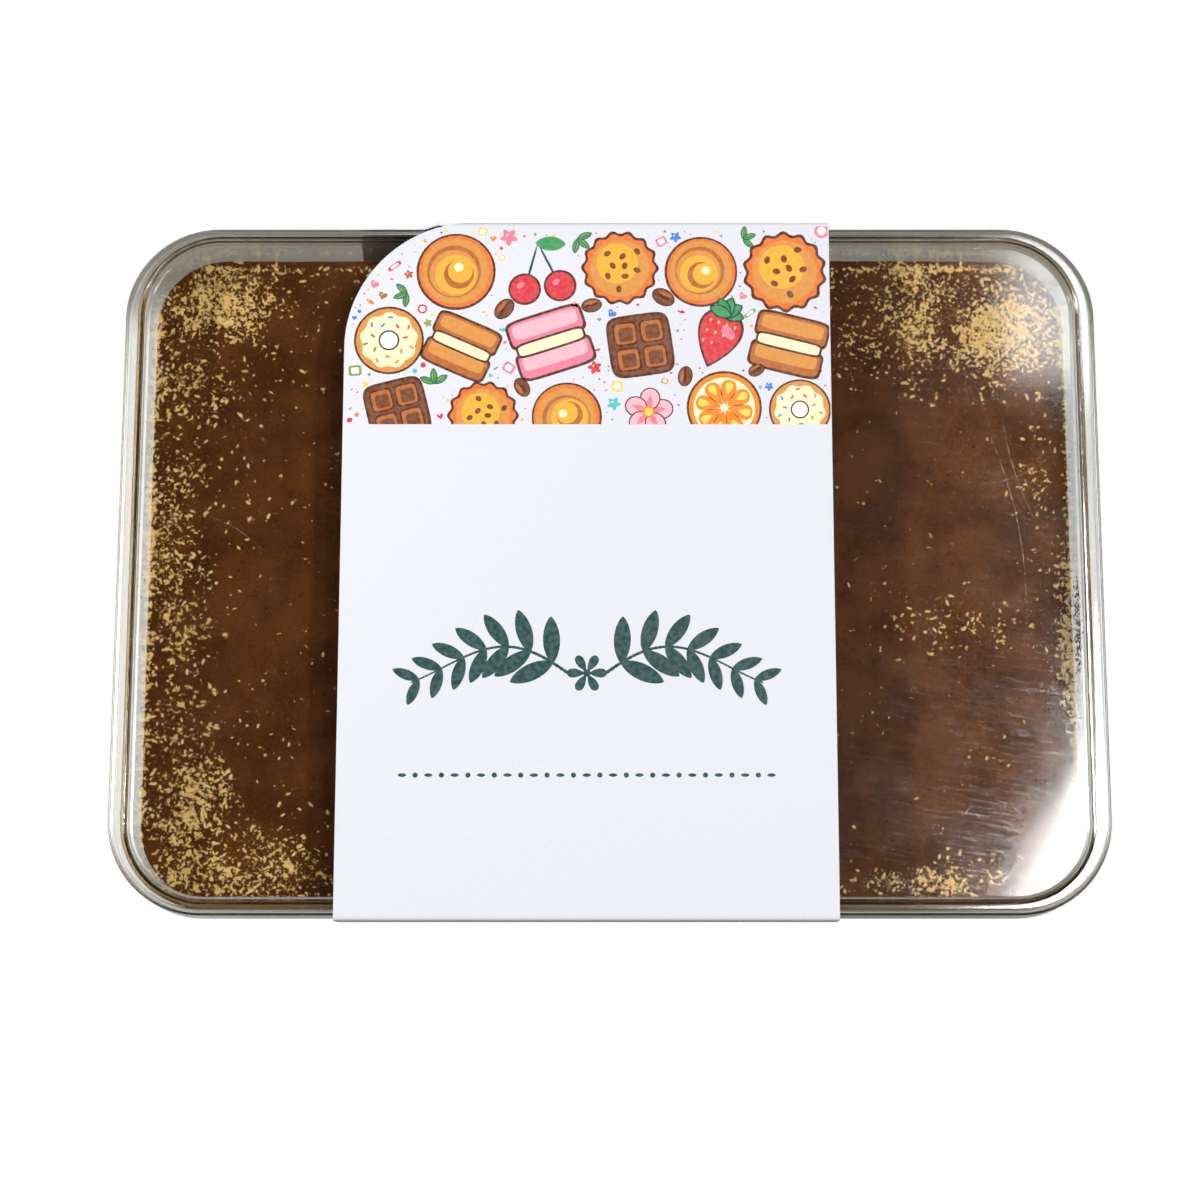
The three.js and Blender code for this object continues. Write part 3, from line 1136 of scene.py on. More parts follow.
@dataclass
class CardSleeve:
    """The card sleeve: a band folded round the box, drawn in below the lid.

    Its top panel has one rounded corner, below which the back panel steps down.
    knee is the height below which the band is drawn in. The dies that cut the card reach past
    it by die_margin sideways, die_above upwards and die_below downwards.
    """

    low: Vector
    high: Vector
    knee: float
    coated: Material
    board: Material
    card: float = 0.5 * MM
    fold: float = 1.0 * MM
    foot_lean: float = 1.9 * MM
    back_lean: float = 3 * MM
    step_height: float = 6 * MM
    step_rise: float = 1 * MM
    step_length: float = 15.5 * MM
    step_run: float = 5.5 * MM
    step_depth: float = 1.3 * MM
    curve: float = 32 * MM
    curve_steps: int = 180
    fold_steps: int = 5
    edge_round: float = 0.08 * MM
    die_margin: float = 1 * MM
    die_above: float = 0.3 * MM
    die_below: float = 0.15 * MM

    def build(self) -> Object:
        """Folds the band, cuts its corner and its back panel, and puts it in place.

        Returns:
            The finished piece.
        """
        piece = finish_piece(self.band(), "card_sleeve", [self.coated, self.board], sharp=35)
        foot = Vector((self.low.x, 0, self.low.z + self.fold))
        shoulder = Vector((self.low.x + self.back_lean, 0, self.high.z - self.step_height))
        bend = shoulder + Vector((self.step_length, 0, self.step_rise))
        head = Vector((bend.x + self.step_run, 0, self.high.z + self.die_above))
        for die in (self.corner_die(), self.side_die(foot, shoulder, 2 * self.foot_lean),
                    self.side_die(shoulder, bend, self.step_depth),
                    self.side_die(bend, head, self.step_depth)):
            self.cut(piece, die)
        rounded = piece.modifiers.new("cut edges", "BEVEL")
        rounded.width = self.edge_round
        rounded.segments = 2
        rounded.limit_method = "ANGLE"
        rounded.angle_limit = math.radians(50)
        return hand_over(piece, Slot.CARD, "sleeve")

    def band(self) -> BMesh:
        """Folds the closed band from one section, with the grey board facing in.

        Returns:
            The band's mesh.
        """
        bm = bmesh.new()
        middle = (self.low + self.high) / 2
        half = (self.high - self.low) / 2
        upright = Matrix.Rotation(math.pi / 2, 4, "Y")
        corners = rectangle(bm, Matrix.Translation((self.low.x, middle.y, middle.z))
                            @ Matrix.Diagonal((1, half.y, half.z, 1)) @ upright)
        crease = bmesh.ops.bisect_plane(bm, geom=everything(bm), plane_co=(0, 0, self.knee),
                                        plane_no=(0, 0, 1))["geom_cut"]
        bmesh.ops.dissolve_edges(bm, edges=only(BMEdge, crease))
        for vert in corners:
            if vert.co.z < self.knee:
                vert.co.y -= math.copysign(self.foot_lean, vert.co.y)
        made = bmesh.ops.bevel(bm, geom=corners, offset=self.fold, offset_type="OFFSET", profile=0.5,
                               segments=self.fold_steps, affect="VERTICES", material=-1)
        face = made["verts"][0].link_faces[0]
        walls = bmesh.ops.inset_region(bm, faces=[face], thickness=self.card, use_boundary=True,
                                       use_even_offset=True)["faces"]
        bmesh.ops.delete(bm, geom=[face], context="FACES")
        raised = bmesh.ops.extrude_face_region(bm, geom=walls)["geom"]
        bmesh.ops.translate(bm, verts=only(BMVert, raised),
                            vec=(self.high.x - self.low.x, 0, 0))
        bmesh.ops.recalc_face_normals(bm, faces=bm.faces[:])
        for one in bm.faces:
            spot = one.calc_center_median()
            out = Vector((0, spot.y - middle.y, spot.z - middle.z))
            one.material_index = int(one.normal.dot(out) < 0)
        return bm

    def side_die(self, foot: Vector, head: Vector, depth: float) -> BMesh:
        """The die for the back panel, left of a slanted line between two places on it.

        Args:
            foot: the line's lower end.
            head: its upper end.
            depth: how far the die reaches in from the panel's face.

        Returns:
            A wedge between the two ends' heights.
        """
        bm = bmesh.new()
        low = Vector((self.low.x - self.die_margin, self.high.y - depth, foot.z))
        high = Vector((head.x + self.die_margin, self.high.y + self.die_margin, head.z))
        place = Matrix.Translation((low + high) / 2) @ Matrix.Diagonal((*(high - low), 1))
        bmesh.ops.create_cube(bm, size=1, matrix=place)
        bmesh.ops.bisect_plane(bm, geom=everything(bm), plane_co=foot,
                               plane_no=(head.z - foot.z, 0, foot.x - head.x), clear_outer=True)
        bmesh.ops.holes_fill(bm, edges=bm.edges[:])
        bmesh.ops.recalc_face_normals(bm, faces=bm.faces[:])
        return bm

    def corner_die(self) -> BMesh:
        """The die that cuts the top panel's back left corner to a quarter circle.

        Returns:
            The die's mesh.
        """
        bm = bmesh.new()
        reach = 2 * self.curve
        centre = Vector((self.low.x + self.curve, self.high.y - self.curve, self.high.z))
        place = Matrix.Translation(centre) @ Matrix.Diagonal((self.curve, self.curve, 1, 1))
        ring = bmesh.ops.create_circle(bm, segments=self.curve_steps, radius=1,
                                       matrix=place)["verts"]
        edges = list({edge for vert in ring for edge in vert.link_edges})
        square = rectangle(bm, Matrix.Translation(centre) @ Matrix.Diagonal((reach, reach, 1, 1)))
        plate = square[0].link_faces[0]
        outer = list(plate.edges)
        bmesh.ops.delete(bm, geom=[plate], context="FACES_ONLY")
        bmesh.ops.triangle_fill(bm, use_beauty=True, edges=edges + outer)
        for normal in ((1, 0, 0), (0, -1, 0)):
            bmesh.ops.bisect_plane(bm, geom=everything(bm), plane_co=centre, plane_no=normal,
                                   clear_outer=True)
        lifted = bmesh.ops.extrude_face_region(bm, geom=bm.faces[:])["geom"]
        bmesh.ops.translate(bm, verts=only(BMVert, lifted),
                            vec=(0, 0, self.card + self.die_margin))
        bmesh.ops.translate(bm, verts=bm.verts[:], vec=(0, 0, -self.card - self.die_below))
        bmesh.ops.recalc_face_normals(bm, faces=bm.faces[:])
        return bm

    @staticmethod
    def cut(piece: Object, shape: BMesh) -> None:
        """Cuts a die's shape out of a piece.

        Args:
            piece: the piece.
            shape: the die's mesh.
        """
        die = finish_piece(shape, "cutting_die", [])
        cut = piece.modifiers.new("cut", "BOOLEAN")
        cut.operation = "DIFFERENCE"
        cut.object = die
        cut.solver = "EXACT"
        graph = bpy.context.evaluated_depsgraph_get()
        result = bpy.data.meshes.new_from_object(piece.evaluated_get(graph))
        piece.modifiers.clear()
        piece.data = result
        bpy.data.objects.remove(die)


class Ink(Enum):
    """The printed colours."""

    OUTLINE = "#5b2a12"
    COFFEE = "#7a4320"
    TOFFEE = "#b9692c"
    BISCUIT = "#dd9444"
    CRUST = "#e9772b"
    ORANGE = "#f58a1f"
    AMBER = "#f9b233"
    LEMON = "#fbd75a"
    CREAM = "#fdeec4"
    WHITE = "#ffffff"
    BLUSH = "#f8b9c4"
    PINK = "#ee7f98"
    RED = "#dc3a44"
    OLIVE = "#8aa33a"
    GREEN = "#3f9a5b"
    TEAL = "#58c3c4"
    BLUE = "#4b82d8"
    BOTTLE = "#1d4741"


# a printed field's form: the place on its edge at an angle, for half a length and width of one
Form = Callable[[float], tuple[float, float]]


def round_form(angle: float) -> tuple[float, float]:
    """A circle."""
    return math.cos(angle), math.sin(angle)


def leaf_form(angle: float) -> tuple[float, float]:
    """A leaf with two pointed ends."""
    return math.cos(angle), 0.42 * math.sin(angle) * abs(math.sin(angle)) ** 0.5


def drop_form(angle: float) -> tuple[float, float]:
    """A drop with its point at the right."""
    return math.cos(angle), 0.95 * math.sin(angle) * math.sin(angle / 2 % math.pi)


def block_form(angle: float) -> tuple[float, float]:
    """A square with rounded corners."""
    along, across = math.cos(angle), math.sin(angle)
    return (math.copysign(abs(along) ** 0.35, along), math.copysign(abs(across) ** 0.35, across))


def wedge_form(angle: float) -> tuple[float, float]:
    """A rounded wedge with its tip at the left."""
    across = math.sin(angle)
    return math.cos(angle), across * (0.62 + 0.36 * math.cos(angle))


def heart_form(angle: float) -> tuple[float, float]:
    """A heart that stands upright.

    Args:
        angle: the angle from its top, in radians.

    Returns:
        That point's place across and along.
    """
    upright = math.cos(angle)
    height = 13 * upright - 5 * math.cos(2 * angle) - 2 * math.cos(3 * angle) - math.cos(4 * angle)
    return math.sin(angle) ** 3, height / 16


def scalloped(bumps: int, depth: float) -> Form:
    """A circle with a wavy edge.

    Args:
        bumps: how many waves.
        depth: their height as a share of the radius.

    Returns:
        The form as a function of the angle.
    """
    def form(angle: float) -> tuple[float, float]:
        """Place on the wavy edge."""
        reach = 1 + depth * math.cos(bumps * angle)
        return reach * math.cos(angle), reach * math.sin(angle)
    return form


@dataclass
class InkSheet:
    """Flat printed fields on the sleeve's top panel, each a thin solid of one ink.

    film is how far the lowest field stands off the card, and lift how far each further level does.
    """

    top: float
    film: float = 0.02 * MM
    lift: float = 0.006 * MM
    field_count: int = 0
    bm: BMesh = field(default_factory=bmesh.new)

    def spot(self, form: Form, ink: Ink, x: float, y: float, size_x: float,
             size_y: float | None = None, turn: float = 0.0, level: int = 0,
             segments: int = 32) -> None:
        """Prints one field of ink.

        Args:
            form: the field's form for a unit size.
            ink: its colour.
            x, y: its middle, in millimetres.
            size_x: half its length, in millimetres.
            size_y: half its width, in millimetres; the same as size_x if None.
            turn: its angle in degrees.
            level: how many fields it lies on.
            segments: edges in its outline.
        """
        height = self.top + self.film + level * self.lift
        place = (Matrix.Translation((x * MM, y * MM, height))
                 @ Matrix.Rotation(math.radians(turn), 4, "Z")
                 @ Matrix.Diagonal((size_x * MM, (size_y or size_x) * MM, 1, 1)))
        made = bmesh.ops.create_circle(self.bm, cap_ends=True, segments=segments, radius=1)["verts"]
        for vert in made:
            along, across = form(math.atan2(vert.co.y, vert.co.x))
            vert.co = place @ Vector((along, across, 0))
        for face in {face for vert in made for face in vert.link_faces}:
            face.material_index = list(Ink).index(ink)
        self.field_count += 1

    def trim(self, edge: Vector, outward: Vector) -> None:
        """Cuts off what lies beyond a straight edge of the printed field."""
        bmesh.ops.bisect_plane(self.bm, geom=everything(self.bm), plane_co=edge, plane_no=outward,
                               clear_outer=True)

    def build(self, name: str, finish: Material) -> Object:
        """Gives the fields their thickness and colours, and puts them in place.

        Args:
            name: the piece's name.
            finish: its ink.

        Returns:
            The finished piece.
        """
        bm = self.bm
        bm.normal_update()
        for face in bm.faces:
            if face.normal.z < 0:
                face.normal_flip()
        bm.normal_update()
        reach = 1.5 * self.film  # down into the card or the field below
        bmesh.ops.solidify(bm, geom=bm.faces[:], thickness=reach)
        colour = bm.loops.layers.float_color.new("ink")
        inks = [linear(ink.value) for ink in Ink]
        for face in bm.faces:
            for loop in face.loops:
                loop[colour] = inks[face.material_index]
            face.material_index = 0
        piece = finish_piece(bm, name, [finish], sharp=30)
        log.info("%s: %d fields of ink", name, self.field_count)
        return hand_over(piece, Slot.CARD)


class Motif(Enum):
    """The motifs of the printed band."""

    CITRUS = "citrus"
    BISCUIT = "biscuit"
    BERRY = "berry"
    BEAN = "bean"
    SANDWICH = "sandwich"
    SQUARE = "square"
    LEAVES = "leaves"
    BLOSSOM = "blossom"
    SWIRL = "swirl"
    CHERRIES = "cherries"
    RING = "ring"


@dataclass
class MotifPrinter:
    """Draws each motif from fields of ink, in millimetres."""

    sheet: InkSheet

    def draw(self, motif: Motif, x: float, y: float, size: float, turn: float) -> None:
        """Draws a motif of a size about a place, turned by degrees."""
        getattr(self, motif.value)(x, y, size, turn)

    @staticmethod
    def around(x: float, y: float, reach: float, angle: float) -> tuple[float, float]:
        """The place at a reach and an angle in degrees from a middle."""
        return x + reach * math.cos(math.radians(angle)), y + reach * math.sin(math.radians(angle))

    def stack(self, form: Form, x: float, y: float, turn: float, *fields: tuple[Any, ...],
              level: int = 0, segments: int = 32) -> None:
        """Prints fields of one form on each other.

        Args:
            form: their form for a unit size.
            x, y: their middle.
            turn: their angle in degrees.
            fields: each one's ink, half length and, where it differs, half width.
            level: how many fields the first one lies on.
            segments: edges in their outlines.
        """
        for step, (ink, *sizes) in enumerate(fields):
            self.sheet.spot(form, ink, x, y, *sizes, turn=turn, level=level + step,
                            segments=segments)

    def citrus(self, x: float, y: float, size: float, turn: float) -> None:
        """A slice of orange.

        Args:
            x, y, size, turn: its middle, half width and angle in degrees.
        """
        spot = self.sheet.spot
        self.stack(round_form, x, y, 0, (Ink.OUTLINE, size), (Ink.ORANGE, size * 0.94),
                   (Ink.CREAM, size * 0.82), segments=48)
        for step in range(8):
            angle = turn + step * 45
            spot(wedge_form, Ink.ORANGE, *self.around(x, y, size * 0.43, angle), size * 0.34,
                 size * 0.3, angle, level=3)
            spot(wedge_form, Ink.LEMON, *self.around(x, y, size * 0.55, angle), size * 0.16,
                 size * 0.15, angle, level=4, segments=16)
        spot(round_form, Ink.CREAM, x, y, size * 0.1, level=4, segments=16)

    def biscuit(self, x: float, y: float, size: float, turn: float) -> None:
        """A round biscuit with dark chips.

        Args:
            x, y, size, turn: its middle, half width and angle in degrees.
        """
        spot = self.sheet.spot
        self.stack(scalloped(14, 0.05), x, y, turn, (Ink.OUTLINE, size), (Ink.CRUST, size * 0.92),
                   segments=84)
        spot(round_form, Ink.BISCUIT, x, y, size * 0.8, level=2, segments=40)
        spot(round_form, Ink.AMBER, *self.around(x, y, size * 0.14, 120), size * 0.56, level=3)
        for step in range(9):
            angle = turn + step * 137.5
            reach = size * (0.14 + 0.064 * step)
            spot(round_form, Ink.COFFEE, *self.around(x, y, reach, angle), size * 0.1,
                 size * 0.075, angle * 3, level=4, segments=14)

    def berry(self, x: float, y: float, size: float, turn: float) -> None:
        """A strawberry.

        Args:
            x, y, size, turn: its middle, half width and angle in degrees.
        """
        spot = self.sheet.spot
        self.stack(drop_form, x, y, turn, (Ink.OUTLINE, size, size * 0.98),
                   (Ink.RED, size * 0.9, size * 0.88), segments=48)
        spot(round_form, Ink.PINK, *self.around(x, y, size * 0.38, turn + 140), size * 0.26,
             size * 0.16, turn + 60, level=2, segments=20)
        for step in range(10):
            row, column = divmod(step, 4)
            place = self.around(x, y, size * (0.5 - row * 0.35), turn + 180)
            place = self.around(*place, size * (column - 1.5) * 0.27, turn + 90)
            spot(drop_form, Ink.LEMON, *place, size * 0.06, size * 0.05, turn, level=3, segments=8)
        for step in range(5):
            angle = turn + 180 + (step - 2) * 42
            place = self.around(*self.around(x, y, size * 0.84, turn + 180), size * 0.2, angle)
            self.stack(leaf_form, *place, angle, (Ink.BOTTLE, size * 0.38, size * 0.5),
                       (Ink.GREEN, size * 0.33, size * 0.38), level=4 + 2 * step, segments=20)

    def bean(self, x: float, y: float, size: float, turn: float) -> None:
        """A roasted coffee bean.

        Args:
            x, y, size, turn: its middle, half width and angle in degrees.
        """
        spot = self.sheet.spot
        self.stack(round_form, x, y, turn, (Ink.OUTLINE, size, size * 0.7),
                   (Ink.COFFEE, size * 0.9, size * 0.6))
        spot(round_form, Ink.TOFFEE, *self.around(x, y, size * 0.3, turn + 90), size * 0.6,
             size * 0.16, turn + 4, level=2, segments=20)
        spot(leaf_form, Ink.OUTLINE, x, y, size * 0.92, size * 0.3, turn + 7, level=3)

    def sandwich(self, x: float, y: float, size: float, turn: float) -> None:
        """Two domed shells with a filling, seen from the side.

        Args:
            x, y, size, turn: its middle, half width and angle in degrees.
        """
        spot = self.sheet.spot
        shell, shade = (Ink.BISCUIT, Ink.TOFFEE) if turn < 0 else (Ink.BLUSH, Ink.PINK)
        for side in (1, -1):
            place = self.around(x, y, side * size * 0.42, turn + 90)
            self.stack(block_form, *place, turn, (Ink.OUTLINE, size, size * 0.4),
                       (shade, size * 0.93, size * 0.33), segments=44)
            spot(block_form, shell, *self.around(*place, size * 0.07, turn + 90), size * 0.84,
                 size * 0.2, turn, level=2, segments=44)
        self.stack(block_form, x, y, turn, (Ink.OUTLINE, size * 0.9, size * 0.2),
                   (Ink.CREAM, size * 0.84, size * 0.14), level=3, segments=36)

    def square(self, x: float, y: float, size: float, turn: float) -> None:
        """A block of chocolate in four squares.

        Args:
            x, y, size, turn: its middle, half width and angle in degrees.
        """
        spot = self.sheet.spot
        self.stack(block_form, x, y, turn, (Ink.OUTLINE, size * 0.9), (Ink.COFFEE, size * 0.83),
                   segments=44)
        for step in range(4):
            place = self.around(x, y, size * 0.53, turn + 45 + 90 * step)
            self.stack(block_form, *place, turn, (Ink.OUTLINE, size * 0.34),
                       (Ink.TOFFEE, size * 0.29), level=2, segments=36)
            spot(block_form, Ink.COFFEE, *self.around(*place, size * 0.03, turn - 60), size * 0.2,
                 turn=turn, level=4, segments=28)

    def leaves(self, x: float, y: float, size: float, turn: float) -> None:
        """Three leaves on a stalk.

        Args:
            x, y, size, turn: its middle, half width and angle in degrees.
        """
        spot = self.sheet.spot
        for level, angle in ((0, turn - 62), (4, turn + 62), (8, turn)):
            place = self.around(x, y, size * 0.55, angle)
            self.stack(leaf_form, *place, angle, (Ink.BOTTLE, size * 0.58, size * 0.62),
                       (Ink.GREEN, size * 0.5), level=level)
            spot(leaf_form, Ink.OLIVE, *self.around(*place, size * 0.05, angle + 90), size * 0.36,
                 size * 0.2, angle, level=level + 2, segments=20)
            spot(leaf_form, Ink.BOTTLE, *place, size * 0.46, size * 0.05, angle, level=level + 3,
                 segments=16)

    def blossom(self, x: float, y: float, size: float, turn: float) -> None:
        """A flower with five petals.

        Args:
            x, y, size, turn: its middle, half width and angle in degrees.
        """
        spot = self.sheet.spot
        for step in range(5):
            angle = turn + 72 * step
            place = self.around(x, y, size * 0.52, angle)
            level = 3 * step
            self.stack(round_form, *place, angle, (Ink.OUTLINE, size * 0.44, size * 0.4),
                       (Ink.BLUSH, size * 0.39, size * 0.35), level=level)
            spot(drop_form, Ink.PINK, *self.around(x, y, size * 0.42, angle), size * 0.26,
                 size * 0.16, angle, level=level + 2, segments=20)
        spot(round_form, Ink.ORANGE, x, y, size * 0.24, level=15, segments=20)
        spot(round_form, Ink.LEMON, x, y, size * 0.16, level=16, segments=16)

    def swirl(self, x: float, y: float, size: float, turn: float) -> None:
        """A coiled bun, glazed.

        Args:
            x, y, size, turn: its middle, half width and angle in degrees.
        """
        spot = self.sheet.spot
        bands = (Ink.OUTLINE, Ink.CRUST, Ink.BISCUIT, Ink.TOFFEE, Ink.BISCUIT, Ink.AMBER,
                 Ink.TOFFEE, Ink.AMBER, Ink.CREAM)
        reaches = (1.0, 0.94, 0.85, 0.68, 0.61, 0.52, 0.38, 0.31, 0.12)
        for level, (ink, reach) in enumerate(zip(bands, reaches)):
            place = self.around(x, y, size * (1 - reach) * 0.16, turn + level * 50)
            spot(round_form, ink, *place, size * reach, turn=turn, level=level, segments=44)

    def cherries(self, x: float, y: float, size: float, turn: float) -> None:
        """Two cherries on their stalks with a leaf.

        Args:
            x, y, size, turn: its middle, half width and angle in degrees.
        """
        spot = self.sheet.spot
        top = self.around(x, y, size * 0.9, turn + 90)
        for side in (-1, 1):
            place = self.around(*self.around(x, y, side * size * 0.5, turn), size * 0.4, turn - 90)
            stalk = ((place[0] + top[0]) / 2, (place[1] + top[1]) / 2)
            lean = math.degrees(math.atan2(top[1] - place[1], top[0] - place[0]))
            spot(leaf_form, Ink.BOTTLE, *stalk, size * 0.72, size * 0.08, lean, segments=16)
            self.stack(round_form, *place, 0, (Ink.OUTLINE, size * 0.46), (Ink.RED, size * 0.4),
                       level=1)
            spot(round_form, Ink.PINK, *self.around(*place, size * 0.16, turn + 130), size * 0.12,
                 size * 0.08, turn + 40, level=3, segments=14)
        spot(leaf_form, Ink.GREEN, *self.around(*top, size * 0.36, turn - 8), size * 0.42,
             size * 0.5, turn - 8, level=4, segments=24)

    def ring(self, x: float, y: float, size: float, turn: float) -> None:
        """A glazed ring with coloured sugar strands.

        Args:
            x, y, size, turn: its middle, half width and angle in degrees.
        """
        spot = self.sheet.spot
        self.stack(round_form, x, y, 0, (Ink.OUTLINE, size), (Ink.BISCUIT, size * 0.94),
                   segments=44)
        spot(scalloped(9, 0.05), Ink.CREAM, x, y, size * 0.8, turn=turn, level=2, segments=54)
        for step in range(14):
            angle = turn + step * 77
            place = self.around(x, y, size * (0.48 + 0.2 * (step % 2)), angle)
            ink = (Ink.RED, Ink.BLUE, Ink.GREEN, Ink.ORANGE, Ink.PINK)[step % 5]
            spot(block_form, ink, *place, size * 0.075, size * 0.03, angle * 2, level=3, segments=12)
        self.stack(round_form, x, y, 0, (Ink.OUTLINE, size * 0.3), (Ink.WHITE, size * 0.25),
                   level=4, segments=24)


@dataclass
class PrintedBand:
    """The colourful printed band at the back of the sleeve's top panel.

    Its sizes are in millimetres. Each motif has its middle, half its width and its turn in degrees.
    """

    low: Vector
    high: Vector
    finish: Material
    band_start: float = 34.3
    curve: float = 32.0
    edge_margin: float = 0.25
    fold_margin: float = 1.1
    seed: int = 11
    confetti_count: int = 3600
    confetti_room: float = 0.4
    side_room: float = 1.5
    end_room: float = 1.0
    curve_room: float = 0.6
    greatest_fleck: float = 2.3
    least_fleck: float = 0.22
    large_fleck: float = 0.9
    fleck_share: float = 0.8
    motifs: tuple[tuple[Motif, float, float, float, float], ...] = (
        (Motif.SWIRL, -38.0, 73.0, 9.8, 20),
        (Motif.RING, -54.3, 55.5, 8.6, 10),
        (Motif.SQUARE, -52.0, 38.0, 8.4, 14),
        (Motif.SANDWICH, -36.5, 54.0, 8.6, -24),
        (Motif.BISCUIT, -31.0, 36.5, 8.4, 0),
        (Motif.CHERRIES, -17.0, 72.5, 8.8, 6),
        (Motif.SANDWICH, -14.5, 55.0, 9.8, 18),
        (Motif.SWIRL, -10.5, 36.2, 8.6, 100),
        (Motif.BISCUIT, 2.5, 74.0, 9.2, 25),
        (Motif.SQUARE, 7.5, 54.3, 8.8, 8),
        (Motif.BLOSSOM, 9.5, 37.4, 6.4, 12),
        (Motif.SWIRL, 22.5, 73.0, 9.0, -24),
        (Motif.BERRY, 26.5, 56.0, 7.8, 250),
        (Motif.CITRUS, 28.0, 38.5, 9.2, 32),
        (Motif.BISCUIT, 43.2, 73.0, 10.0, 40),
        (Motif.SANDWICH, 44.0, 54.5, 9.2, -14),
        (Motif.RING, 46.5, 38.0, 7.6, 70),
        (Motif.BEAN, -26.0, 63.5, 3.0, 50),
        (Motif.BEAN, 13.2, 66.5, 3.0, -30),
        (Motif.BEAN, -21.5, 43.6, 2.6, 120),
        (Motif.BEAN, -4.5, 64.4, 2.6, 10),
        (Motif.LEAVES, -8.0, 81.5, 3.4, -40),
        (Motif.LEAVES, -43.0, 44.6, 3.4, 95),
        (Motif.LEAVES, 33.0, 81.5, 3.0, 20),
        (Motif.BEAN, 18.5, 46.4, 2.6, 80),
        (Motif.BEAN, 36.0, 48.0, 2.2, 30),
        (Motif.LEAVES, -50.0, 67.5, 3.2, 200),
    )
    colours: tuple[Ink, ...] = (Ink.RED, Ink.PINK, Ink.BLUE, Ink.TEAL, Ink.OLIVE, Ink.AMBER,
                                Ink.ORANGE, Ink.LEMON, Ink.RED, Ink.TOFFEE)

    def build(self) -> Object:
        """Prints the motifs and the confetti between them, trimmed to the band.

        Returns:
            The finished piece.
        """
        sheet = InkSheet(self.high.z)
        printer = MotifPrinter(sheet)
        for motif, x, y, size, turn in self.motifs:
            printer.draw(motif, x, y, size, turn)
        self.scatter(sheet)
        right = self.high.x - self.edge_margin * MM
        left = self.low.x + self.edge_margin * MM
        back = self.high.y - self.fold_margin * MM
        sheet.trim(Vector((0, self.band_start * MM, 0)), Vector((0, -1, 0)))
        sheet.trim(Vector((0, back, 0)), Vector((0, 1, 0)))
        sheet.trim(Vector((right, 0, 0)), Vector((1, 0, 0)))
        sheet.trim(Vector((left, 0, 0)), Vector((-1, 0, 0)))
        return sheet.build("printed_band", self.finish)

    def inside_curve(self, x: float, y: float, margin: float) -> bool:
        """True if a place lies on the card, clear of the rounded corner's cut.

        Args:
            x, y: the place.
            margin: how clear of the cut it has to be.

        Returns:
            Whether it does.
        """
        centre_x = self.low.x / MM + self.curve
        centre_y = self.high.y / MM - self.curve
        if x > centre_x or y < centre_y:
            return True
        return math.hypot(x - centre_x, y - centre_y) < self.curve - margin

    def scatter(self, sheet: InkSheet) -> None:
        """Strews hearts, stars, rings and dashes between the motifs, the largest first.

        Args:
            sheet: the sheet that they are printed on.
        """
        draw = random.Random(self.seed)
        taken = [(x, y, size) for _, x, y, size, _ in self.motifs]
        for step in range(self.confetti_count):
            shrinking = (self.least_fleck / self.greatest_fleck) ** (step / self.confetti_count)
            size = self.greatest_fleck * shrinking
            x = draw.uniform(self.low.x / MM + self.side_room, self.high.x / MM - self.side_room)
            y = draw.uniform(self.band_start + self.end_room,
                             self.high.y / MM - self.fold_margin - self.end_room)
            room = size + self.confetti_room
            clear = all(math.hypot(x - a, y - b) > reach + room for a, b, reach in taken)
            if clear and self.inside_curve(x, y, size + self.curve_room):
                taken.append((x, y, size))
                self.fleck(sheet, draw, x, y, size)

    def fleck(self, sheet: InkSheet, draw: random.Random, x: float, y: float, size: float) -> None:
        """Prints one piece of confetti.

        Args:
            sheet: the sheet.
            draw: where the random numbers come from.
            x, y: the place.
            size: its half width.
        """
        ink = draw.choice(self.colours)
        large = size > self.large_fleck
        star = scalloped(5, 0.3)
        form, flatness = draw.choice((
            (heart_form, 1.0), (heart_form, 1.0), (star, 1.0), (star, 1.0), (round_form, 1.0),
            (block_form if large else round_form, 0.85), (block_form, 0.3), (leaf_form, 1.0)))
        turn = draw.uniform(-40, 40)
        size *= self.fleck_share
        sheet.spot(form, ink, x, y, size, size * flatness, turn, segments=20)
        if large and form in (round_form, block_form):
            sheet.spot(form, Ink.WHITE, x, y, size * 0.6, size * 0.6 * flatness, turn, level=1,
                       segments=20)
        elif large:
            sheet.spot(round_form, Ink.CREAM, x - size * 0.25, y + size * 0.3, size * 0.2,
                       size * 0.13, 40, level=1, segments=12)


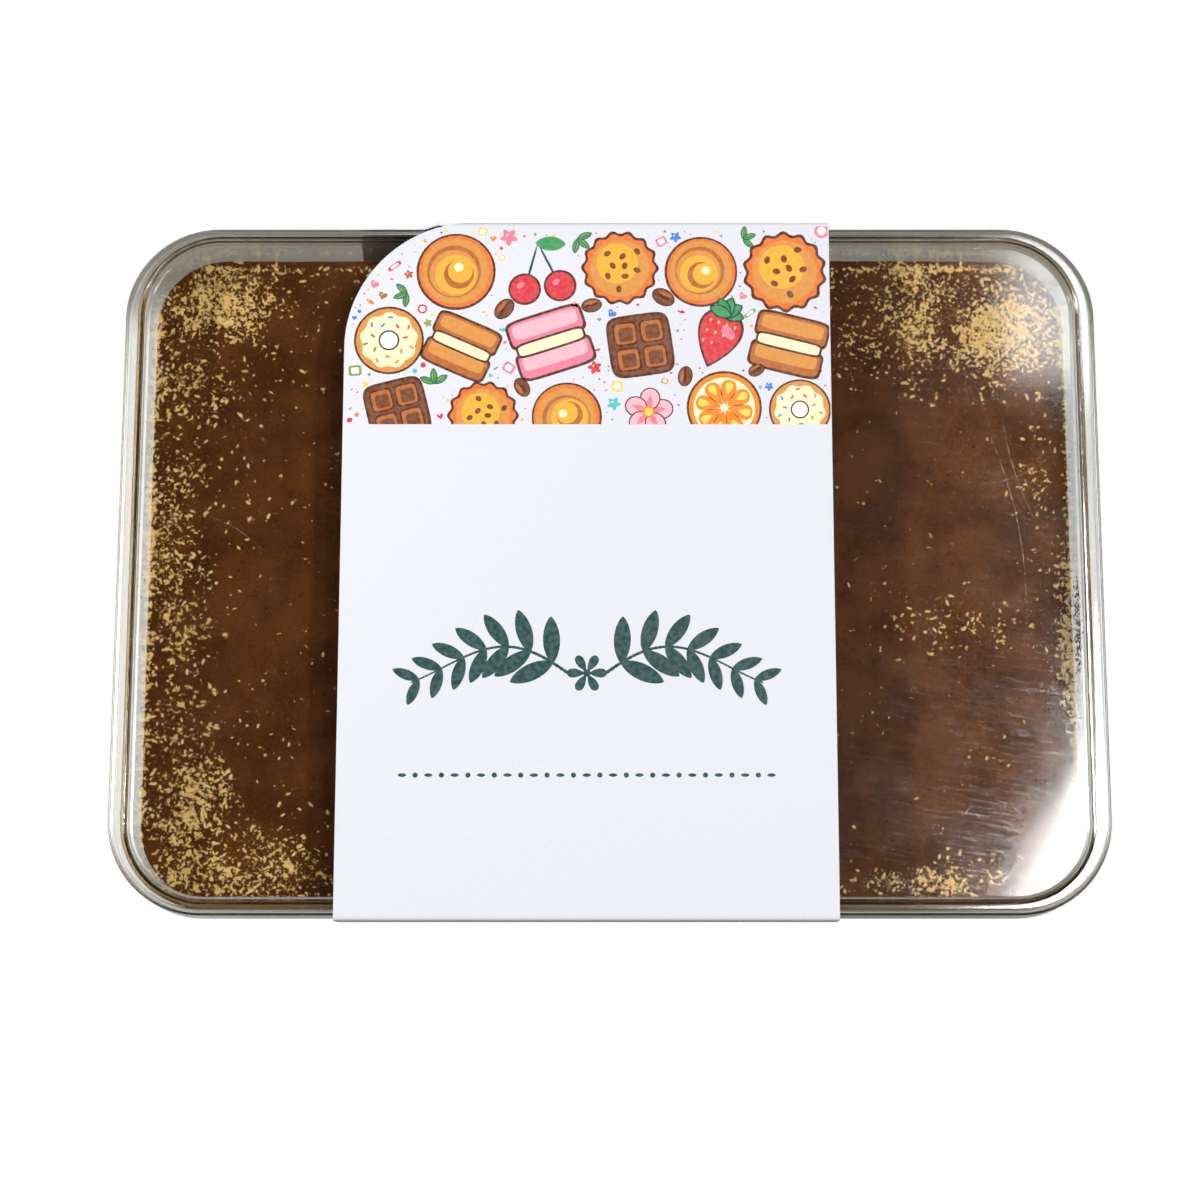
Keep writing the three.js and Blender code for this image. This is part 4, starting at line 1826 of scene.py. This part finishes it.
@dataclass
class GreenSprig:
    """The printed ornament below the band: a leafy spray over a fine dotted rule.

    Its sizes are in millimetres.
    """

    low: Vector
    high: Vector
    finish: Material
    middle_y: float = -27.0
    half_length: float = 42.0
    arch: float = 7.5
    stem_start: float = 4.6
    stem_steps: int = 36
    pairs: int = 7
    leaf: float = 6.0
    petals: int = 6
    petal_reach: float = 2.6
    rule_y: float = -51.5
    rule_half: float = 44.0
    rule_dots: int = 29

    def build(self) -> Object:
        """Prints the spray and the rule.

        Returns:
            The finished piece.
        """
        sheet = InkSheet(self.high.z)
        middle_x = (self.low.x + self.high.x) / 2 / MM
        for side in (-1, 1):
            self.branch(sheet, middle_x, side)
        for step in range(self.petals):
            angle = 360 / self.petals * step
            place = MotifPrinter.around(middle_x, self.middle_y, self.petal_reach, angle)
            sheet.spot(drop_form, Ink.BOTTLE, *place, 2.2, 1.5, angle + 180, level=2)
        sheet.spot(round_form, Ink.BOTTLE, middle_x, self.middle_y, 0.9, level=3)
        for step in range(self.rule_dots):
            along = (step / (self.rule_dots - 1) * 2 - 1) * self.rule_half
            size = 0.62 if step % 2 else 1.05
            form = round_form if step % 2 else leaf_form
            sheet.spot(form, Ink.BOTTLE, middle_x + along, self.rule_y, size, segments=20)
        return sheet.build("printed_sprig", self.finish)

    def stem(self, share: float) -> tuple[float, float]:
        """Place along one branch, from the middle out, before it is mirrored."""
        along = self.stem_start + share * (self.half_length - self.stem_start)
        return along, self.arch * math.sin(math.pi * 1.15 * share) * (1 - 0.35 * share)

    def branch(self, sheet: InkSheet, middle_x: float, side: int) -> None:
        """Prints a stem with its leaves, shrinking outwards.

        Args:
            sheet: the sheet that gets it.
            middle_x: the ornament's middle, in millimetres.
            side: 1 for the right-hand branch, -1 for its mirror image.
        """
        steps = self.stem_steps
        for step in range(steps):
            x0, y0 = self.stem(step / steps)
            x1, y1 = self.stem((step + 1) / steps)
            lean = math.degrees(math.atan2(y1 - y0, (x1 - x0) * side))
            sheet.spot(round_form, Ink.BOTTLE, middle_x + side * (x0 + x1) / 2,
                       self.middle_y + (y0 + y1) / 2, 0.95, 0.42 - 0.22 * step / steps, lean,
                       level=step % 2, segments=14)
        for pair in range(self.pairs):
            share = (pair + 0.7) / self.pairs
            x, y = self.stem(share)
            x1, y1 = self.stem(share + 0.02)
            lean = math.degrees(math.atan2(y1 - y, x1 - x))
            size = self.leaf * (1 - 0.45 * share)
            for hand in (1, -1):
                angle = lean + hand * (58 - 14 * share)
                leaf_x, leaf_y = MotifPrinter.around(x, y, size * 0.95, angle)
                turn = angle if side > 0 else 180 - angle
                sheet.spot(leaf_form, Ink.BOTTLE, middle_x + side * leaf_x,
                           self.middle_y + leaf_y, size, size * 0.85, turn,
                           level=2 + 2 * pair + (hand > 0))


def pour(some: BMesh, whole: BMesh) -> BMesh:
    """Adds a small mesh to a larger one, frees it and starts an empty one.

    Args:
        some: the small mesh.
        whole: the larger one.

    Returns:
        The empty mesh.
    """
    mesh = bpy.data.meshes.new("batch")
    some.to_mesh(mesh)
    whole.from_mesh(mesh)
    bpy.data.meshes.remove(mesh)
    some.free()
    return bmesh.new()


@dataclass
class Strewn:
    """Many small like things joined in one mesh."""

    name: str
    finish: Material
    slot: Slot
    seed: int
    roughness: float = 0.3
    detail: int = 1
    batch: int = 120

    def build(self, places: Iterable[Matrix]) -> Object:
        """Makes one uneven grain for each place.

        Args:
            places: where each grain lies, how large it is and how it is turned.

        Returns:
            The joined piece.
        """
        draw = random.Random(self.seed)
        whole = bmesh.new()
        some = bmesh.new()
        for count, place in enumerate(places, 1):
            made = bmesh.ops.create_icosphere(some, subdivisions=self.detail, radius=1)["verts"]
            for vert in made:
                vert.co = place @ (vert.co * (1 + draw.uniform(-self.roughness, self.roughness)))
            if count % self.batch == 0:
                some = pour(some, whole)
        pour(some, whole)
        piece = finish_piece(whole, self.name, [self.finish])
        return hand_over(piece, self.slot)


def lying(x: float, y: float, z: float, size: Vector, turn: float) -> Matrix:
    """Place, turn about Z and half sizes of a small thing."""
    return (Matrix.Translation((x, y, z)) @ Matrix.Rotation(turn, 4, "Z")
            @ Matrix.Diagonal((*size, 1)))


@dataclass
class LooseBits:
    """The small things in the box: cream flecks, cocoa crumbs and beads of water.

    Sizes are half widths. A range gives its least and greatest value in millimetres, and where it
    has a third number, the likeliest. smudge_rise is in shares of the wall above the filling.
    """

    bed: CocoaBed
    lid_underside: float
    crumb: Material
    cream: Material
    water: Material
    seed: int = 5
    fleck_sizes: tuple[float, float] = (0.14, 0.4)
    clot_sizes: tuple[float, float] = (0.12, 0.38)
    dust_sizes: tuple[float, float] = (0.06, 0.26)
    smudge_sizes: tuple[float, float] = (0.14, 0.42)
    smudge_y: tuple[float, float, float] = (-26, -1, -17)
    smudge_rise: tuple[float, float, float] = (0.1, 0.8, 0.4)
    bead_sizes: tuple[float, float] = (0.12, 0.34)
    bead_x: tuple[float, float, float] = (55, 90, 64)
    bead_out: tuple[float, float, float] = (73, 79.2, 78)
    allowance: float = 0.6
    off_wall: float = 0.5 * MM
    dust_off_wall: float = 0.05 * MM

    def cream_flecks(self, count: int = 1900) -> Object:
        """Raised dabs of cream where the cocoa lies thin.

        Args:
            count: how many.

        Returns:
            The finished piece.
        """
        draw = random.Random(self.seed)
        flecks = Strewn("cream_flecks", self.cream, Slot.CREAM, self.seed, roughness=0.2, detail=2)
        return flecks.build(self.on_bed(draw, count, 0.12, self.fleck_sizes, slimness=2.8,
                                        flatness=0.35))

    def cocoa_clots(self, count: int = 2600) -> Object:
        """Small lumps of cocoa all over the bed.

        Args:
            count: how many.

        Returns:
            The finished piece.
        """
        draw = random.Random(self.seed + 1)
        clots = Strewn("cocoa_clots", self.crumb, Slot.COCOA, self.seed + 1)
        return clots.build(self.on_bed(draw, count, -1, self.clot_sizes, slimness=1.6,
                                       flatness=0.5))

    def on_bed(self, draw: random.Random, count: int, least_bare: float,
               sizes: tuple[float, float], slimness: float, flatness: float) -> Iterable[Matrix]:
        """Places on the bed, more of them where it is barer than least_bare.

        Args:
            draw: where the random numbers come from.
            count: how many places.
            least_bare: how bare the bed has to be there, less a random allowance.
            sizes: least and greatest half width, in millimetres.
            slimness: the greatest length, as a multiple of the width.
            flatness: height as a share of the width.

        Yields:
            The place, turn and half sizes of one small thing.
        """
        bed = self.bed
        half_x, half_y, radius = bed.outline.halves(bed.wall.inset(bed.top) + self.off_wall)
        made = 0
        while made < count:
            y = draw.uniform(-half_y, half_y)
            reach = bed.half_length_at(y, half_x, half_y, radius)
            x = draw.uniform(-reach, reach)
            bare = bed.bareness(x, y, half_x - abs(x), half_y - y)
            if bare < least_bare + draw.random() * self.allowance:
                continue
            made += 1
            size = draw.uniform(*sizes) * MM
            yield lying(x, y, bed.height(x, y, bare),
                        Vector((size * draw.uniform(1, slimness), size, size * flatness)),
                        draw.uniform(0, math.pi))

    def wall_dust(self, count: int = 420, smudge: int = 300) -> Object:
        """Cocoa caught on the tray's wall above the filling at the ends.

        Args:
            count: how many grains lie all over both end walls.
            smudge: how many more lie in one smudge on the right one.

        Returns:
            The piece.
        """
        draw = random.Random(self.seed + 2)
        wall, outline = self.bed.wall, self.bed.outline
        places = []
        while len(places) < count + smudge:
            smudged = len(places) >= count
            share = (draw.triangular(*self.smudge_rise) if smudged
                     else draw.random() ** 1.7 * 0.95)
            height = wall.fill + (wall.rim - wall.fill) * share
            half_x, half_y, radius = outline.halves(wall.inset(height) + self.dust_off_wall)
            side = 1 if smudged else draw.choice((-1, 1))
            y = (draw.triangular(*self.smudge_y) * MM if smudged
                 else draw.uniform(-half_y, half_y))
            x = side * self.bed.half_length_at(y, half_x, half_y, radius)
            size = draw.uniform(*(self.smudge_sizes if smudged else self.dust_sizes)) * MM
            places.append(lying(x, y, height, Vector((size * 0.5, size, size)), 0))
        dust = Strewn("wall_dust", self.crumb, Slot.COCOA, self.seed + 2, roughness=0.35)
        return dust.build(places)

    def beads(self, count: int = 90) -> Object:
        """Condensed water under the lid by the front wall, right of the sleeve.

        Args:
            count: how many.

        Returns:
            The finished piece.
        """
        draw = random.Random(self.seed + 3)
        places = []
        for _ in range(count):
            x = draw.triangular(*self.bead_x) * MM
            y = -draw.triangular(*self.bead_out) * MM
            size = draw.uniform(*self.bead_sizes) * MM
            places.append(lying(x, y, self.lid_underside, Vector((size, size, size * 0.6)), 0))
        beads = Strewn("water_beads", self.water, Slot.CLEAR, self.seed + 3, roughness=0.05,
                       detail=2)
        return beads.build(places)


@dataclass(frozen=True)
class Scratch:
    """A fine scratch on the lid, bowed from one end to the other, in millimetres."""

    start: tuple[float, float]
    end: tuple[float, float]
    bow: float
    width: float


@dataclass
class LidScratches:
    """The fine scratches on the lid's panel."""

    panel: float
    finish: Material
    height: float = 0.015 * MM
    steps: int = 14
    scratches: tuple[Scratch, ...] = (
        Scratch((92, 36), (101, -16), 3.0, 0.11),
        Scratch((96, 40), (105, 8), -1.6, 0.08),
        Scratch((104, -43), (108, -34), 0.4, 0.14),
        Scratch((84, -61.5), (86.5, -58.5), 0.1, 0.3),
        Scratch((92, -57), (101, -63), 0.8, 0.12),
        Scratch((90, -60), (99, -66), 0.6, 0.1),
        Scratch((98, -52), (108, -57), -0.5, 0.1),
        Scratch((70, 58), (96, 47), 1.5, 0.07),
        Scratch((88, 20), (108, 27), -2.0, 0.08),
        Scratch((-98, 12), (-84, 3), 1.2, 0.05),
    )

    def build(self) -> Object:
        """Draws each scratch as a hair-thin ridge and puts them in place.

        Returns:
            The finished piece.
        """
        whole = bmesh.new()
        for scratch in self.scratches:
            pour(self.draw(scratch), whole)
        piece = finish_piece(whole, "lid_scratches", [self.finish])
        return hand_over(piece, Slot.CLEAR)

    def draw(self, scratch: Scratch) -> BMesh:
        """Draws one scratch: a slim bar, bowed and tapered to both ends.

        Args:
            scratch: where it runs and how wide it is.

        Returns:
            The ridge's mesh.
        """
        start, end = Vector(scratch.start) * MM, Vector(scratch.end) * MM
        along = end - start
        across = Vector((-along.y, along.x)).normalized()
        bm = bmesh.new()
        bmesh.ops.create_cube(bm, size=1)
        long_edges = [edge for edge in bm.edges
                      if abs(edge.verts[0].co.x - edge.verts[1].co.x) > 0.5]
        bmesh.ops.subdivide_edges(bm, edges=long_edges, cuts=self.steps, use_grid_fill=True)
        for vert in bm.verts:
            share = vert.co.x + 0.5
            taper = 0.12 + 0.88 * math.sin(math.pi * share)
            aside = scratch.bow * math.sin(math.pi * share) + scratch.width * taper * vert.co.y
            place = start + along * share + across * aside * MM
            vert.co = (place.x, place.y, self.panel + self.height * vert.co.z)
        return bm


@dataclass
class Lamp:
    """A rectangular soft light: where it hangs, its sides, its power and how it is turned.

    heading is the direction of its first side, seen from above.
    """

    name: str
    place: Vector
    sides: tuple[float, float]
    power: float
    heading: Vector = field(default_factory=lambda: Vector((1, 0, 0)))
    aim: Vector = field(default_factory=Vector)

    def hang(self) -> None:
        """Puts the lamp in the scene."""
        data = bpy.data.lights.new(self.name, "AREA")
        data.shape = "RECTANGLE"
        data.size, data.size_y = self.sides
        data.energy = self.power
        back = (self.place - self.aim).normalized()
        side = (self.heading - back * self.heading.dot(back)).normalized()
        turn = Matrix((side, back.cross(side), back)).transposed().to_4x4()
        lamp = bpy.data.objects.new(self.name, data)
        lamp.matrix_world = Matrix.Translation(self.place) @ turn
        bpy.context.scene.collection.objects.link(lamp)


@dataclass(frozen=True)
class Sky:
    """The surroundings that the plastic mirrors: dim walls all round, and a zenith.

    Each value is linear light with an alpha of 1. The camera itself sees plain white.
    """

    left: tuple[float, ...] = (0.22, 0.22, 0.23, 1)
    right: tuple[float, ...] = (0.07, 0.07, 0.08, 1)
    front: tuple[float, ...] = (0.2, 0.2, 0.2, 1)
    back: tuple[float, ...] = (0.02, 0.02, 0.02, 1)
    zenith_left: tuple[float, ...] = (0.01, 0.01, 0.01, 1)
    zenith_right: tuple[float, ...] = (0.06, 0.06, 0.066, 1)

    def build(self) -> None:
        """Lights the surroundings."""
        world = bpy.data.worlds.new("studio")
        bpy.context.scene.world = world
        world.use_nodes = True
        world.node_tree.nodes.clear()
        add = partial(add_node, world.node_tree)
        way = add("SeparateXYZ", {0: add("TexCoord").outputs["Generated"]})
        rightwards = add("MapRange", {"Value": way.outputs["X"], "From Min": -0.02,
                                      "From Max": 0.18}, **SOFT)
        zenith = add("Mix", {SHARE: rightwards, FIRST: self.zenith_left,
                             SECOND: self.zenith_right}, **COLOURS)
        up = add("MapRange", {"Value": way.outputs["Z"], "From Min": 0.5, "From Max": 0.85}, **SOFT)
        aside = add("Math", {0: way.outputs["X"]}, operation="ABSOLUTE")
        beside = add("MapRange", {"Value": aside, "From Min": 0.5, "From Max": 0.95}, **SOFT)
        sides = add("Mix", {SHARE: rightwards, FIRST: self.left, SECOND: self.right}, **COLOURS)
        forwards = add("MapRange", {"Value": way.outputs["Y"], "From Min": -0.2,
                                    "From Max": -0.7}, **SOFT)
        ends = add("Mix", {SHARE: forwards, FIRST: self.back, SECOND: self.front}, **COLOURS)
        walls = add("Mix", {SHARE: beside, FIRST: ends, SECOND: sides}, **COLOURS)
        sky = add("Mix", {SHARE: up, FIRST: walls, SECOND: zenith}, **COLOURS)
        unseen = add("Background", {"Color": sky})
        seen = add("Background", {"Color": (1, 1, 1, 1)})
        path = add("LightPath")
        mixed = add("MixShader", {0: path.outputs["Is Camera Ray"], 1: unseen, 2: seen})
        add("OutputWorld", {"Surface": mixed})


@dataclass
class Studio:
    """A pale floor, a dim sky and soft lamps.

    The floor glows beside the box, more at the left, and turns grey from shade_start to shade_end
    before and behind it, a lighter grey in front. blend is half the width of each change.
    """

    sky: Sky = field(default_factory=Sky)
    floor_size: float = 12.0
    acrylic: str = "#f4f4f4"
    grey_back: str = "#8e8a83"
    grey_front: str = "#a8a49d"
    glow_left: float = 0.34
    glow_right: float = 0.18
    blend: float = 40 * MM
    shade_start: float = 68 * MM
    shade_end: float = 88 * MM
    lamps: tuple[Lamp, ...] = (
        Lamp("key_left", Vector((-1.2, 0.12, 0.98)), (0.13, 0.13), 18.2),
        Lamp("key_right", Vector((0.7, 0.05, 1.36)), (0.11, 0.11), 10.2),
        Lamp("softbox_right", Vector((0.419, 0.011, 1.46)), (0.4, 0.14), 4.5,
             Vector((0.47, 0.883, 0))),
        Lamp("corner_right", Vector((0.42, 0.52, 1.46)), (0.16, 0.2), 0.6),
    )

    def lay_floor(self) -> None:
        """Lays the pale floor, lit from below beside the box and less so before and behind it."""
        material, add = new_material("white acrylic, lit from below")
        place = add("SeparateXYZ", {0: add("TexCoord").outputs["Object"]})
        aside = add("Math", {0: place.outputs["Y"]}, operation="ABSOLUTE")
        open_side = add("MapRange", {"Value": aside, "From Min": self.shade_start,
                                     "From Max": self.shade_end, "To Min": 1.0, "To Max": 0.0},
                        **SOFT)
        white = add("BsdfDiffuse", {"Color": linear(self.acrylic)})
        forwards = add("MapRange", {"Value": place.outputs["Y"], "From Min": self.blend,
                                    "From Max": -self.blend}, **SOFT)
        tone = add("Mix", {SHARE: forwards, FIRST: linear(self.grey_back),
                           SECOND: linear(self.grey_front)}, **COLOURS)
        grey = add("BsdfDiffuse", {"Color": tone})
        glow = add("MapRange", {"Value": place.outputs["X"], "From Min": -self.blend,
                                "From Max": self.blend, "To Min": self.glow_left,
                                "To Max": self.glow_right}, **SOFT)
        lit = add("AddShader", {0: white, 1: add("Emission", {"Strength": glow})})
        table = add("MixShader", {0: open_side, 1: grey, 2: lit})
        seen = add("Emission", {"Color": linear("#ffffff"), "Strength": 1.0})
        path = add("LightPath")
        mixed = add("MixShader", {0: path.outputs["Is Camera Ray"], 1: table, 2: seen})
        add("OutputMaterial", {"Surface": mixed})
        bm = bmesh.new()
        rectangle(bm, Matrix.Diagonal((self.floor_size / 2, self.floor_size / 2, 1, 1)))
        finish_piece(bm, "floor", [material])

    def build(self) -> None:
        """Sets up the studio."""
        self.lay_floor()
        self.sky.build()
        for lamp in self.lamps:
            lamp.hang()


@dataclass
class PhotoCamera:
    """The camera, above the box and a little in front of it, with its aim in the photo's pixels."""

    target: Vector
    distance: float = 0.6
    tilt: float = 10.4
    lens: float = 74.1
    sensor: float = 36.0
    image_size: int = 1200
    centre_x: float = 609.8
    centre_y: float = 564.4

    def build(self) -> None:
        """Places the camera so that the box's middle falls where the photograph has it."""
        data = bpy.data.cameras.new("camera")
        data.lens = self.lens
        data.sensor_width = self.sensor
        data.shift_x = (self.image_size / 2 - self.centre_x) / self.image_size
        data.shift_y = (self.centre_y - self.image_size / 2) / self.image_size
        data.clip_start = 0.01
        camera = bpy.data.objects.new("camera", data)
        tilt = math.radians(self.tilt)
        camera.location = self.target + self.distance * Vector((0, -math.sin(tilt), math.cos(tilt)))
        camera.rotation_euler = (tilt, 0, 0)
        bpy.context.scene.collection.objects.link(camera)
        bpy.context.scene.camera = camera


def main() -> None:
    """Builds the camera, the studio and every piece of the box."""
    logging.basicConfig(level=logging.INFO, format="%(name)s: %(message)s")
    scene = bpy.context.scene
    scene.view_settings.view_transform = "Standard"
    scene.view_settings.look = "None"

    lid_low, lid_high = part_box("lid")
    tray_low, tray_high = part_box("tray")
    cocoa_low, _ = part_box("cocoa_dusting")
    sleeve_low, sleeve_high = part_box("sleeve")
    outline = Outline(lid_high.x, lid_high.y)
    wall = TrayWall(floor=tray_low.z + TRAY_THICKNESS, fill=cocoa_low.z + COCOA_DEPTH,
                    rim=tray_high.z)

    PhotoCamera(Vector((0, 0, AIM_HEIGHT))).build()
    Studio().build()

    plastic = ClearPolystyrene().make()
    cream = WhippedCream().make()
    crumb = DryCrumb().make()
    ink = OffsetInk().make()
    Tray(outline, wall, plastic).build()
    lid = Lid(outline, plastic, skirt_bottom=lid_low.z, ridge_top=lid_high.z)
    lid.build()

    Filling(outline, wall, cocoa_low.z, SoakedSponge().make(), cream).build()
    bed = CocoaBed(outline, wall, SiftedCocoa().make(), top=wall.fill, bottom=cocoa_low.z)
    bed.build()
    panel = lid.ridge_top - lid.panel_drop
    bits = LooseBits(bed, panel - lid.thickness, crumb, cream, CondensedWater().make())
    bits.cream_flecks()
    bits.cocoa_clots()
    bits.wall_dust()
    bits.beads()
    LidScratches(panel, ScuffedPlastic().make()).build()

    CardSleeve(sleeve_low, sleeve_high, lid_low.z, COATED_CARD.make(), GREY_BOARD.make()).build()
    PrintedBand(sleeve_low, sleeve_high, ink).build()
    GreenSprig(sleeve_low, sleeve_high, ink).build()


if __name__ == "__main__":
    main()
